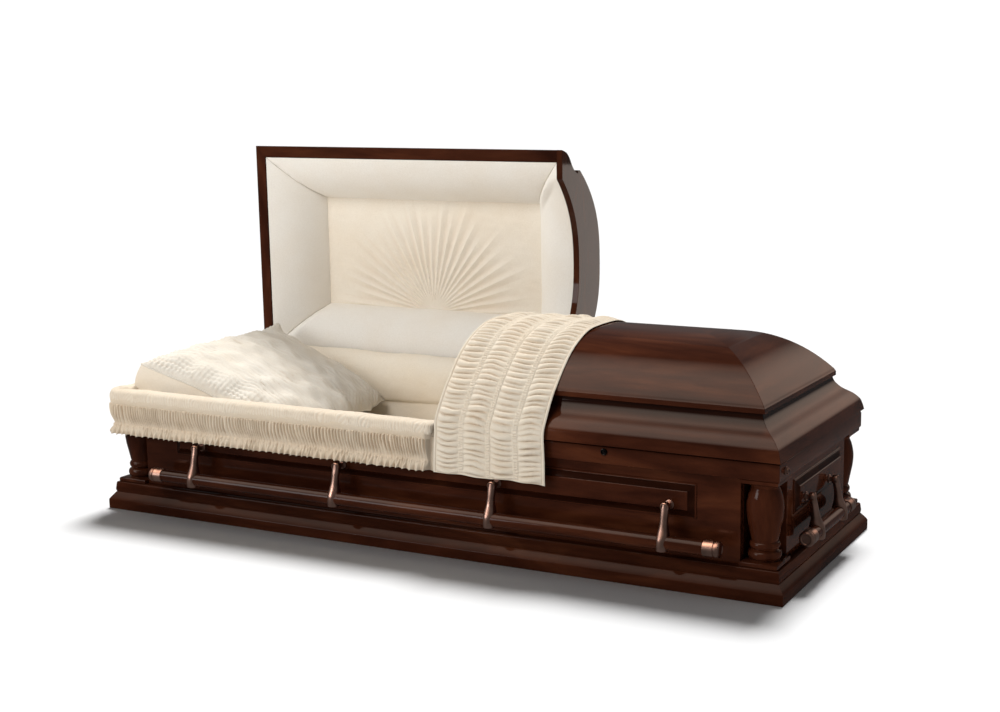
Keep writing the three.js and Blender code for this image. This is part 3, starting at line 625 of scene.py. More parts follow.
def crown_line(half_y, rise, steps):
    reach = half_y - RIDGE_HALF
    line = []
    for i in range(steps + 1):
        inset = reach * (i / steps) ** 1.15
        line.append((inset, rise * (1 - (1 - inset / reach) ** CROWN_CURVE)))
    return line


def rim_line(count):
    low = RIM_BOTTOM
    return spline([(0, low), (0.0046, low + 0.018), (0.0108, low + 0.033), (0.0267, low + 0.050),
                   (0.0508, low + 0.067), (0.067, low + 0.086), (0.073, RIM_TOP)], count)


def crown_shape():
    rise = CROWN_TOP - CROWN_LOW - CROWN_LIP
    lip_top = CROWN_LOW + CROWN_LIP
    outer = [(0.0, CROWN_LOW), (0.0, lip_top - 0.0035), (0.0006, lip_top - 0.0012)]
    dome = crown_line(CROWN_HALF_Y, rise, 44)
    outer += [(inset + 0.0016 * (i == 0), lip_top + z) for i, (inset, z) in enumerate(dome)]
    inner_half = CROWN_HALF_Y - CROWN_SHELL
    inner_dome = crown_line(inner_half, rise - CROWN_SHELL, 16)
    inner = [(CROWN_SHELL + inset, lip_top + z) for inset, z in reversed(inner_dome)]
    inner.append((CROWN_SHELL, CROWN_LOW))
    return Shape().stack(CROWN_HALF_X, CROWN_HALF_Y, [*inner, *outer])


def rim_shape():
    outer = rim_line(28)
    lip_high = RIM_BOTTOM + 0.020
    inner = [(max(inset + RIM_THICKNESS, RIM_LIP * (z < lip_high)), z) for inset, z in outer[::4]][::-1]
    start = [(0.0012, RIM_BOTTOM), (0.0002, RIM_BOTTOM + 0.0012)]
    return Shape().ring(rectangle(RIM_HALF_X, RIM_HALF_Y), [*start, *outer[1:], *inner])


def header_shape(low_x):
    rise = CROWN_TOP - CROWN_LOW - CROWN_LIP
    front = [(inset - RIM_HALF_Y, z) for inset, z in rim_line(20)]
    front.append((-CROWN_HALF_Y, CROWN_LOW))
    lip_top = CROWN_LOW + CROWN_LIP
    front += [(inset - CROWN_HALF_Y, lip_top + z) for inset, z in crown_line(CROWN_HALF_Y, rise, 30)]
    outline = front + [(-y, z) for y, z in reversed(front)]
    for angle in np.linspace(0, math.pi, 41):
        y = ARCH_HALF * math.cos(angle)
        outline.append((y, RIM_BOTTOM + ARCH_HEIGHT * (1 - abs(y / ARCH_HALF) ** ARCH_CURVE)))
    loops = [[(x, y, z) for y, z in outline] for x in (low_x, low_x + HEADER_THICKNESS)]
    return Shape().tube(loops)


def add_lids():
    crown, rim = crown_shape(), rim_shape()
    head_header_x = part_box("head_lid_header")[0].x
    foot_header_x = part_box("foot_lid_header")[0].x
    pieces = [
        ("head_lid_crown", cut_across(crown, HEAD_CUT, True).opened(), WOODS, "head_lid"),
        ("head_lid_rim", cut_across(rim, HEAD_CUT, True).opened(), [WOOD_X, WOOD_Z], "head_lid"),
        ("head_lid_header", header_shape(head_header_x).opened(), [WOOD_Z], "head_lid"),
        ("foot_lid_crown", cut_across(crown, FOOT_CUT, False), WOODS, "foot_lid"),
        ("foot_lid_rim", cut_across(rim, FOOT_CUT, False), WOODS, "foot_lid"),
        ("foot_lid_header", header_shape(foot_header_x), [WOOD_Y], "foot_lid"),
    ]
    for node, shape, woods, body in pieces:
        points = np.array(shape.verts)
        shut_height = points[:, 1] - HINGE.y + HINGE.z if body == "head_lid" else points[:, 2]
        # Painted shade: each rim is darkened near its top, in the cove under the crown's lip
        darker = 0.8 * smooth(RIM_TOP - 0.038, RIM_TOP - 0.020, shut_height) * node.endswith("rim")
        piece = build(node + "_wood", shape, woods, body, 24, True, darker)
        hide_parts(node)
        soften(piece, 0.0010)


def add_hinges():
    barrel_radius = 0.0026
    for end in ("head", "foot"):
        node = f"{end}_lid_hinge"
        low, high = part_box(node)
        pitch = (high.x - low.x) / 34
        shape = Shape()
        for i in range(34):
            start = low.x + i * pitch
            profile = [(0, 0), (barrel_radius * 0.85, 0), (barrel_radius, 0.0006),
                       (barrel_radius, pitch - 0.0010), (barrel_radius * 0.85, pitch - 0.0004),
                       (0, pitch - 0.0004)]
            place = Matrix.Translation((start, HINGE.y, HINGE.z)) @ Matrix.Rotation(math.pi / 2, 4, "Y")
            shape.lathe(profile, 12, 0, place)
        face = RAIL_HALF_Y + 0.0003
        leaf_top = HINGE.z - barrel_radius / 2
        shape.box((low.x, face, low.z), (high.x, face + 0.0016, leaf_top))
        shape.box((low.x, face, leaf_top - 0.0016), (high.x, HINGE.y, leaf_top))
        for i in range(12):
            x = low.x + (i + 0.5) * (high.x - low.x) / 12
            spot = Matrix.Translation((x, face + 0.0014, low.z + 0.009))
            place = spot @ Matrix.Rotation(-math.pi / 2, 4, "X")
            shape.lathe([(0, 0), (0.0034, 0), (0.0030, 0.0009), (0.0010, 0.0012), (0, 0.0006)], 14, 0, place)
        hinge = build(f"{node}_leaves", shape, [HINGE_METAL], "root", 35)
        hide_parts(node)


# Metal

def oval(half_x, half_y, sides, power=2.4):
    angle = np.linspace(0, 2 * math.pi, sides, endpoint=False)
    c, s = np.cos(angle), np.sin(angle)
    return np.sign(c) * np.abs(c) ** (2 / power) * half_x, np.sign(s) * np.abs(s) ** (2 / power) * half_y


def arm_shape():
    """Drawn for the front: the pivot is the origin and the bar hangs below, a little further out."""
    keys = np.array([
        # height, half width, half depth, centre out
        (0.007, 0.0076, 0.0070, 0.0020), (-0.006, 0.0106, 0.0085, 0.0035), (-0.018, 0.0104, 0.0090, 0.0060),
        (-0.032, 0.0100, 0.0096, 0.0085), (-0.048, 0.0114, 0.0115, 0.0108), (-0.062, 0.0142, 0.0155, 0.0130),
        (-0.076, 0.0158, 0.0205, 0.0145), (-0.090, 0.0160, 0.0216, 0.0150), (-0.100, 0.0154, 0.0212, 0.0150),
        (-0.1062, 0.0146, 0.0190, 0.0150), (-0.1070, 0.0030, 0.0040, 0.0150),
    ])
    levels = spline(keys, 40)
    loops = []
    for z, half_x, half_y, out in levels:
        x, y = oval(max(half_x, 0.0004), max(half_y, 0.0004), 28)
        loops.append(np.stack([x, y - out, np.full_like(x, z)], axis=1))
    shape = Shape().tube(loops)
    facing = Matrix.Rotation(math.pi / 2, 4, "X")
    knob = [(0, -0.0066), (0.0095, -0.0066), (0.0114, -0.0050), (0.0122, -0.001), (0.0122, 0.0055),
            (0.0114, 0.0084), (0.0100, 0.0094), (0.0084, 0.0088), (0.0074, 0.0070)]
    shape.lathe(knob, 32, 0, facing)
    # The knob's shallow hole, wall and floor, is dark metal: painted shade, so that it reads as a deep hole
    return shape.lathe([(0.0074, 0.0070), (0.0070, 0.0020), (0, 0.0020)], 32, 1, facing)


def lug_shape(depth):
    facing = Matrix.Translation((0, depth - 0.0003, 0)) @ Matrix.Rotation(math.pi / 2, 4, "X")
    plate = [(0, 0), (0.0120, 0), (0.0120, 0.0012), (0.0112, 0.0020), (0.0096, 0.0024), (0.0088, 0.0018),
             (0.0080, 0.0018), (0.0070, 0.0028), (0, 0.0030)]
    shape = Shape().lathe(plate, 32, 0, facing)
    shape.box((-0.0045, 0.004, -0.0062), (0.0045, depth - 0.002, 0.0062))
    return shape


def tip_profile():
    rim = TIP_RADIUS
    end = TIP_LENGTH
    return [(BAR_RADIUS - 0.001, 0.0), (rim - 0.0010, 0.0), (rim, 0.0010), (rim, 0.0270),
            (rim - 0.0006, 0.0278), (rim - 0.0022, 0.0284), (rim - 0.0022, 0.0302), (rim - 0.0006, 0.0308),
            (rim, 0.0316), (rim, end - 0.0060), (rim - 0.0012, end - 0.0026), (rim - 0.0045, end - 0.0003),
            (rim - 0.0075, end - 0.0003), (rim - 0.0090, end - 0.0018), (0, end - 0.0022)]


def add_handles():
    counts = {"front": 4, "back": 4, "head": 2, "foot": 2}
    for side, turn in SIDES.items():
        body = f"{side}_handle"
        pivot = Vector(JOINTS[f"{side}_handle_swing"]["pos_m"])
        facing = Matrix.Rotation(turn, 4, "Z")
        low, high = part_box(f"{side}_bar")
        centre = (low + high) / 2
        half = max(high.x - low.x, high.y - low.y) / 2
        lie = Matrix.Translation(centre) @ facing @ Matrix.Rotation(math.pi / 2, 4, "Y")
        reach = half - TIP_LENGTH
        rod = Shape().lathe([(0, -reach - 0.01), (BAR_RADIUS, -reach - 0.01), (BAR_RADIUS, reach + 0.01),
                             (0, reach + 0.01)], 40, 0, lie)
        wood = WOOD_X if side in ("front", "back") else WOOD_Y
        rod_piece = build(f"{side}_handle_rod", rod, [wood], body, 40)
        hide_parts(f"{side}_bar")
        for end, flip in (("first", math.pi), ("second", 0.0)):
            place = lie @ Matrix.Rotation(flip, 4, "Y") @ Matrix.Translation((0, 0, reach))
            tip = Shape().lathe(tip_profile(), 40, 0, place)
            build(f"{side}_handle_{end}_tip", tip, [COPPER], body, 28)
        depth = 0.016 if side in ("head", "foot") else 0.025
        for i in range(counts[side]):
            low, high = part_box(f"{side}_arm_{i + 1}")
            middle = (low + high) / 2
            spot = (middle.x, pivot.y, pivot.z) if side in ("front", "back") else (pivot.x, middle.y, pivot.z)
            place = Matrix.Translation(spot) @ facing
            arm = arm_shape()
            placed = Shape().add(arm.verts, arm.faces, arm.marks, place)
            arm_piece = build(f"{side}_handle_arm_{i + 1}", placed, [COPPER, DARK_METAL], body, 38)
            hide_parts(f"{side}_arm_{i + 1}")
            lug = lug_shape(depth)
            lug_piece = build(f"{side}_handle_lug_{i + 1}", Shape().add(lug.verts, lug.faces, 0, place),
                              [COPPER], "root", 35)
            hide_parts(f"{side}_lug_{i + 1}")


def add_small_fittings():
    low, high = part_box("lid_lock")
    centre = (low + high) / 2
    radius = (high.x - low.x) / 2
    depth = high.y - low.y
    place = Matrix.Translation((centre.x, high.y, centre.z)) @ Matrix.Rotation(math.pi / 2, 4, "X")
    ring = [(0, 0), (radius, 0), (radius, depth * 0.5), (radius * 0.92, depth * 0.9), (radius * 0.78, depth),
            (radius * 0.66, depth * 0.8), (radius * 0.60, depth * 0.35), (radius * 0.36, depth * 0.35),
            (radius * 0.32, depth * 0.8), (radius * 0.20, depth * 0.85), (0, depth * 0.6)]
    lock = build("lock_cylinder", Shape().lathe(ring, 36, 0, place), [DARK_METAL], "root", 28)
    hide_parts("lid_lock")
    low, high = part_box("key_fitting")
    centre = (low + high) / 2
    radius = (high.y - low.y) / 2
    depth = high.x - low.x
    place = Matrix.Translation((low.x, centre.y, centre.z)) @ Matrix.Rotation(math.pi / 2, 4, "Y")
    ring = [(0, 0), (radius, 0), (radius, depth * 0.28), (radius * 0.92, depth * 0.36),
            (radius * 0.80, depth * 0.4), (radius * 0.76, depth * 0.9), (radius * 0.66, depth),
            (radius * 0.44, depth), (radius * 0.40, depth * 0.5), (0, depth * 0.45)]
    key = build("key_socket", Shape().lathe(ring, 36, 0, place), [COPPER], "root", 28)
    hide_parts("key_fitting")


# Fabric of the head lid

def roll_face(share):
    """The roll's outer face, by its share of the way in from the rim: how far in, and how high when shut."""
    bulge = ROLL_BULGE * np.sin(math.pi * share) ** 0.85
    return ROLL_WIDTH * share + bulge * 0.7, RIM_BOTTOM + 0.003 + ROLL_DEPTH * share - bulge * 0.7


def add_lid_rolls():
    low_x = -RIM_HALF_X + ROLL_MARGIN
    high_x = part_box("head_lid_lining")[1].x
    half_y = RIM_HALF_Y - ROLL_MARGIN
    corners = [(low_x, -half_y), (high_x, -half_y), (high_x, half_y), (low_x, half_y)]
    rows, cols = 34, 130
    share = np.linspace(0, 1, rows)
    inset, height = roll_face(share)
    edge_curl = smooth(0.93, 1.0, share)
    back_inset = np.linspace(ROLL_WIDTH - 0.010, 0.004, 8)
    back_height = np.linspace(RIM_BOTTOM + ROLL_DEPTH + 0.018, RIM_BOTTOM + 0.026, 8)
    for k, name in enumerate(("front", "foot", "back", "head")):
        start, end = np.array(corners[k]), np.array(corners[(k + 1) % 4])
        run = (end - start) / np.linalg.norm(end - start)
        into = np.array([-run[1], run[0]])
        length = np.linalg.norm(end - start)
        loops = []
        for t in (1 - np.cos(np.linspace(0, math.pi, cols))) / 2:
            in_all = np.concatenate([inset, back_inset])
            z_all = np.concatenate([height + 0.003 * edge_curl, back_height])
            along = in_all + 0.0002 + t * (length - 2 * in_all - 0.0004)
            from_mitre = np.minimum(along[:rows] - inset, length - inset - along[:rows])
            if name == "foot":
                across = np.abs(start[1] + along) / ARCH_HALF
                arch = ARCH_HEIGHT * np.clip(1 - across ** ARCH_CURVE, 0, 1)
                from_ends = np.minimum(along - in_all, length - in_all - along)
                arch *= smooth(0, 0.05, from_ends)
                z_all = z_all + arch * (1 - np.concatenate([share, np.linspace(1, 0, 8)]))
            seam = np.exp(-from_mitre / 0.010) * 0.0026 * np.sin(math.pi * np.clip(share, 0.02, 0.98)) ** 0.4
            rumple = waves(along[:rows] * 0.6, share * 0.14, 0.16, 40 + k) * 0.0016
            pull = waves(along[:rows], share * 0.05, 0.022, 50 + k) * 0.0011 * np.exp(-from_mitre / 0.05)
            push = (rumple + pull) * np.sin(math.pi * share) - seam
            if name == "back":
                push += 0.020 * np.sin(math.pi * share ** 0.8) ** 0.8 * smooth(0, 0.06, from_mitre) ** 0.6
            in_all[:rows] += push * 0.7
            z_all[:rows] -= push * 0.7
            points = start[None] + run[None] * along[:, None] + into[None] * in_all[:, None]
            loops.append(np.column_stack([points, z_all]))
        shape = Shape().tube(loops).opened()
        roll = build(f"lid_roll_{name}", shape, [CREPE], "head_lid", 50)
        if name == "front":
            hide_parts("head_lid_lining")


def add_lid_panel():
    margin = 0.012
    low_x = -RIM_HALF_X + ROLL_MARGIN + ROLL_WIDTH - margin
    high_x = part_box("head_lid_lining")[1].x - ROLL_WIDTH + margin
    half_y = RIM_HALF_Y - ROLL_MARGIN - ROLL_WIDTH + margin
    across, tall = 370, 168
    x = np.linspace(low_x, high_x, across)[:, None] * np.ones((1, tall))
    y = np.linspace(-half_y, half_y, tall)[None, :] * np.ones((across, 1))
    centre_x, centre_y = (low_x + high_x) / 2 + 0.004, half_y - margin + 0.012
    radius = np.hypot(x - centre_x, y - centre_y)
    angle = np.arctan2(centre_y - y, x - centre_x)
    pleats = 25
    turn = angle / math.pi * pleats + waves(angle * 4, radius * 0.4, 1.5, 61) * 0.10
    ridge = 1 - np.abs(2 * (turn - np.floor(turn)) - 1)
    ridge = ridge ** 1.5
    number = np.floor(turn)
    reach = 0.395 + 0.035 * np.sin(number * 2.4) + 0.02 * np.sin(number * 5.1)
    fade = smooth(0.010, 0.060, radius) * (1 - smooth(reach * 0.62, reach, radius))
    depth = 0.0066 * ridge * fade * (0.45 + 0.55 * smooth(0.02, 0.18, radius))
    depth += waves(x, y, 0.10, 62) * 0.0011 + waves(x, y, 0.030, 63) * 0.0004
    z = RIM_BOTTOM + ROLL_DEPTH - 0.0005 - depth
    shape = Shape().add(np.stack([x, y, z], axis=2), grid_faces(across, tall))
    # Painted shade in the hollows between the sunburst's pleats
    painted_shade = 0.18 * fade * (1 - ridge) ** 3
    panel = build("lid_sunburst_panel", shape.opened(), [PEACH], "head_lid", 60, False,
                  painted_shade)
    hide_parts("head_lid_lining_panel")


# Fabric of the body

def add_body_lining():
    """Padded walls with a fuller roll along the top, following the recesses at the corners."""
    low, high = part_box("body_lining")
    half_x, half_y = high.x, high.y
    step_x, step_y = 0.9157, 0.2177
    outline = [(-step_x, -half_y), (step_x, -half_y), (step_x, -step_y), (half_x, -step_y), (half_x, step_y),
               (step_x, step_y), (step_x, half_y), (-step_x, half_y), (-step_x, step_y), (-half_x, step_y),
               (-half_x, -step_y), (-step_x, -step_y)]
    top = high.z
    roll = [(0.010 + 0.017 * (1 - math.cos(a)), top - 0.020 + 0.0195 * math.sin(a))
            for a in np.linspace(0.3, 1.5, 6)]
    drop = [(0.0300, top - 0.0010), (0.0345, top - 0.008), (0.0360, top - 0.020), (0.0330, top - 0.040),
            (0.0280, top - 0.062), (0.0245, top - 0.085), (0.0230, top - 0.105), (0.0235, top - 0.130),
            (0.0240, top - 0.180), (0.0240, low.z)]
    face = spline(drop, 34)
    profile = np.array([(0.0003, low.z), (0.0003, top - 0.020), *roll, *face])
    count = len(outline)
    rows = []
    for i, corner in enumerate(outline):
        after = outline[(i + 1) % count]
        before = outline[i - 1]
        length = math.hypot(after[0] - corner[0], after[1] - corner[1])
        steps = max(2, int(length / 0.02))
        run = np.array([after[0] - corner[0], after[1] - corner[1]]) / length
        into = np.array([-run[1], run[0]])
        run_before = np.array([corner[0] - before[0], corner[1] - before[1]])
        run_before /= np.linalg.norm(run_before)
        far = outline[(i + 2) % count]
        run_after = np.array([far[0] - after[0], far[1] - after[1]])
        run_after /= np.linalg.norm(run_after)
        start_slant = np.dot(np.array([-run_before[1], run_before[0]]), run)
        end_slant = np.dot(np.array([-run_after[1], run_after[0]]), run)
        for k in range(steps):
            t = k / steps
            row = []
            for j, (inset, z) in enumerate(profile):
                start = start_slant * inset
                end = length + end_slant * inset
                s = start + t * (end - start)
                spot = np.array(corner) + run * s + into * inset
                row.append((spot[0], spot[1], z))
            rows.append(row)
    points = np.array(rows)
    first_face = len(profile) - len(face)
    inward = points[:, first_face:, :2]
    rumple = waves(inward[..., 0], points[:, first_face:, 2] * 0.8 + inward[..., 1], 0.20, 71) * 0.0022
    points[:, first_face:, 2] += rumple * 0.4 * (points[:, first_face:, 2] > low.z + 0.02)
    n, m = points.shape[:2]
    shape = Shape().add(points, grid_faces(n, m, True, True))
    for side in (-1, 1):
        ys = sorted((side * 0.2170, side * 0.3118))
        cover_top = RAIL_TOP + 0.0034
        middle = ((-1.0098 - 0.9150) / 2, (ys[0] + ys[1]) / 2, 0)
        edge = [(0.0, RAIL_TOP + 0.0003), (0.0, cover_top - 0.0012), (0.0014, cover_top), (0.02, cover_top)]
        shape.stack(0.0474, 0.0474, edge, Matrix.Translation(middle))
    lining = build("padded_walls", shape, [WALLS, WALLS], "root", 50)
    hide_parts("body_lining")


def add_back_roll():
    """The fuller roll that stands above the rail along the back of the open half."""
    rows = 220
    section = spline(BACK_ROLL, 60)[:-1]
    centre = section.mean(axis=0)
    low_x, high_x = -RAIL_HALF_X + 0.040, HEAD_CUT + 0.016
    middle, half = (low_x + high_x) / 2, (high_x - low_x) / 2
    t = -np.cos(np.linspace(0.02, math.pi - 0.02, rows))
    loops = []
    for x, share in zip(middle + half * t, t):
        size = (1 - abs(share) ** 60) ** 0.5
        loop = centre + (section - centre) * size
        push = waves(np.full(len(loop), x), loop[:, 1], 0.22, 75) * 0.0030
        push += waves(np.full(len(loop), x), loop[:, 1] * 2, 0.05, 76) * 0.0007
        free = (loop[:, 1] > RAIL_TOP + 0.012) | (loop[:, 0] < 0.28)
        outward = (loop - centre) / np.linalg.norm(loop - centre, axis=1)[:, None]
        loop = loop + outward * (push * free)[:, None]
        loops.append(np.column_stack([np.full(len(loop), x), loop]))
    roll = build("back_lining_roll", Shape().tube(loops), [WALLS], "root", 60)
    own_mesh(roll)


def add_mattress():
    low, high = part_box("mattress")
    flat_top = 0.196
    rows, cols = 130, 44
    xs = np.linspace(low.x, high.x, rows)
    v = np.linspace(-1, 1, cols)
    wide = high.y - 0.018
    narrow = 0.170
    loops = []
    for x in xs:
        half = narrow + (wide - narrow) * smooth(0.930, 0.868, abs(x)) if abs(x) > 0.868 else wide
        end = smooth(0, 0.05, min(x - low.x, high.x - x))
        rise = 0.128 * smooth(-0.500, -0.817, x)
        round_off = np.clip(1 - np.abs(v) ** 7, 0, 1) ** 0.45
        top = flat_top + rise - 0.030 + (0.030 * end + 0.004) * round_off
        top += waves(np.full(cols, x), v * half, 0.24, 81) * 0.0025 * round_off
        bottom = np.full(cols, low.z + 0.0005)
        upper = np.column_stack([np.full(cols, x), v * half, top])
        lower = np.column_stack([np.full(cols, x), v * half, bottom])[::-1]
        loops.append(np.vstack([upper, lower]))
    bed = build("bed", Shape().tube(loops), [WALLS], "root", 50)
    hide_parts("mattress")


PILLOW_HALF_LENGTH = 0.270
PILLOW_HALF_WIDTH = 0.278
PILLOW_TILT = math.radians(22.5)
PILLOW_CENTRE = (-0.705, 0.002, 0.340)
PILLOW_PULL = 0.045
PILLOW_SIDE = 0.088
EAR_OUT, EAR_UP = 0.022, 0.032
FRONT_CORNER_DOWN, FRONT_CORNER_OUT = 0.026, 0.022


def pillow_seam(u, v):
    """Place of the seam, or of what lies inside it, by its shares along and across the pillow."""
    ear = np.exp(-((u + 1) ** 2 + (v - 1) ** 2) / 0.025)
    corner = np.exp(-((u + 1) ** 2 + (v + 1) ** 2) / 0.30)
    foot_front = np.exp(-((u - 1) ** 2 + (v + 1) ** 2) / 0.30)
    foot_back = np.exp(-((u - 1) ** 2 + (v - 1) ** 2) / 0.35)
    near_foot = smooth(0.6, 1.0, u)
    x = u * PILLOW_HALF_LENGTH * (1 - PILLOW_PULL * (1 - v ** 2)) - FRONT_CORNER_OUT * corner
    wavy = np.sin(v * 11 + 1) + 0.7 * np.sin(v * 24)
    x += -0.008 * foot_front - 0.045 * foot_back + 0.0050 * near_foot * wavy
    y = v * PILLOW_HALF_WIDTH * (1 - PILLOW_PULL * (1 - u ** 2)) + EAR_OUT * ear - 0.020 * foot_back
    lift = EAR_UP * ear - FRONT_CORNER_DOWN * corner + 0.0040 * near_foot * np.sin(v * 15)
    lift = lift - 0.030 * foot_front
    return x, y, lift


def pillow_side(u):
    return PILLOW_SIDE * smooth(0.75, -0.85, u)


def add_pillow():
    n = 172
    edge = np.sin(np.linspace(-0.5, 0.5, n) * math.pi)
    u, v = np.meshgrid(edge, edge, indexing="ij")
    x, y, lift = pillow_seam(u, v)
    dome = np.clip((1 - u ** 4) * (1 - v ** 4), 0, 1) ** 0.5
    inside = smooth(0.0, 0.25, dome)
    stray = waves(x, y, 0.12, 91) * 0.012
    shirr = np.abs(np.sin((y + stray * 0.6 + 0.004 * waves(x, y, 0.05, 92)) * math.pi / 0.0125)) ** 0.8
    strength = 0.45 + 0.55 * np.clip(waves(x * 0.5, y * 1.6, 0.11, 93) + 0.35, 0, 1)
    near_edge = np.exp(-(1 - np.maximum(np.abs(u), np.abs(v))) * PILLOW_HALF_WIDTH / 0.035)
    top = 0.074 * dome + inside * (0.0042 * (shirr - 0.6) * strength + waves(x, y, 0.075, 94) * 0.0060)
    top += inside * near_edge * 0.0030 * np.sin((x + y * (np.abs(u) > np.abs(v))) * 2 * math.pi / 0.016)
    tilt = Matrix.Translation(PILLOW_CENTRE) @ Matrix.Rotation(PILLOW_TILT, 4, "Y")
    shape = Shape()
    shape.add(np.stack([x, y, lift + top], axis=2), grid_faces(n, n), 0, tilt)
    bottom = lift - pillow_side(u) - 0.020 * dome
    shape.add(np.stack([x, y, bottom], axis=2), grid_faces(n, n), 0, tilt)
    forward, backward = slice(None), slice(None, None, -1)
    ends = [(0, forward), (forward, n - 1), (n - 1, backward), (backward, 0)]
    rim = [np.column_stack([part[key] for part in (u, v)])[:-1] for key in ends]
    rim_u, rim_v = np.vstack(rim).T
    sx, sy, sz = pillow_seam(rim_u, rim_v)
    steps = 12
    side = []
    for k in range(steps + 1):
        share = k / steps
        swell = 1 + 0.020 * math.sin(math.pi * share) * smooth(0.6, -0.6, rim_u)
        fall = pillow_side(rim_u) * share
        side.append(np.column_stack([sx * swell, sy * (1 + (swell - 1) * 0.4), sz - fall]))
    # The sides take the warmer crepe, whose warmth is painted shade
    shape.add(np.array(side), grid_faces(steps + 1, len(rim_u), False, True), 1, tilt)
    # Painted shade in the hollows of the shirring
    painted_shade = inside * 0.42 * (1 - shirr) ** 2 * strength
    pillow = build("pillow_cushion", shape, [SHIRRED, PEACH], "root", 60, True, painted_shade)
    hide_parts("pillow")
    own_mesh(pillow)
    piping = Shape()
    add_tube(piping, np.column_stack([sx, sy, sz]), 0.0028, 8, True, tilt)
    cord = build("pillow_piping", piping, [SHIRRED], "root", 60)
    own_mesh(cord)


def add_tube(shape, centre, radius, sides, closed, place=None, mark=0):
    """A round tube along a line of points."""
    centre = np.asarray(centre, float)
    keep = [0]
    for i in range(1, len(centre)):
        if np.linalg.norm(centre[i] - centre[keep[-1]]) > 1e-5:
            keep.append(i)
    centre = centre[keep]
    if closed and np.linalg.norm(centre[0] - centre[-1]) < 1e-5:
        centre = centre[:-1]
    if closed:
        ahead, behind = np.roll(centre, -1, 0), np.roll(centre, 1, 0)
    else:
        ahead = np.vstack([centre[1:], centre[-1:]])
        behind = np.vstack([centre[:1], centre[:-1]])
    run = ahead - behind
    run /= np.linalg.norm(run, axis=1)[:, None]
    up = np.tile(np.array([0.02, 0.05, 1.0]), (len(run), 1))
    vertical = np.abs(run[:, 2]) > 0.9
    up[vertical] = np.array([1.0, 0.0, 0.05])
    side = np.cross(run, up)
    side /= np.linalg.norm(side, axis=1)[:, None]
    up = np.cross(side, run)
    angle = np.linspace(0, 2 * math.pi, sides, endpoint=False)
    loops = centre[:, None] + radius * (np.cos(angle)[None, :, None] * side[:, None]
                                        + np.sin(angle)[None, :, None] * up[:, None])
    if closed:
        shape.add(loops, grid_faces(len(centre), sides, True, True), mark, place)
    else:
        shape.tube(loops, mark, place)


def ruffle_path(step):
    """Points along the rail's outside from the split round the head end, with their outward directions."""
    end_x = HEAD_CUT + 0.0035
    out_x, out_y = RAIL_HALF_X + RUFFLE_THICKNESS, RAIL_HALF_Y + RUFFLE_THICKNESS
    r = RUFFLE_CORNER
    straight = end_x + out_x - r
    arc = r * math.pi / 2
    side = RAIL_HALF_Y + out_y - r
    total = straight + arc + side
    s = np.linspace(0, total, int(total / step))
    x, y, nx, ny = (np.zeros_like(s) for _ in range(4))
    first = s < straight
    x[first], y[first], ny[first] = end_x - s[first], -out_y, -1
    middle = (s >= straight) & (s < straight + arc)
    angle = (s[middle] - straight) / r
    x[middle] = -out_x + r - r * np.sin(angle)
    y[middle] = -out_y + r - r * np.cos(angle)
    nx[middle], ny[middle] = -np.sin(angle), -np.cos(angle)
    last = s >= straight + arc
    x[last], y[last], nx[last] = -out_x, -out_y + r + s[last] - straight - arc, -1
    return s, x, y, nx, ny, total


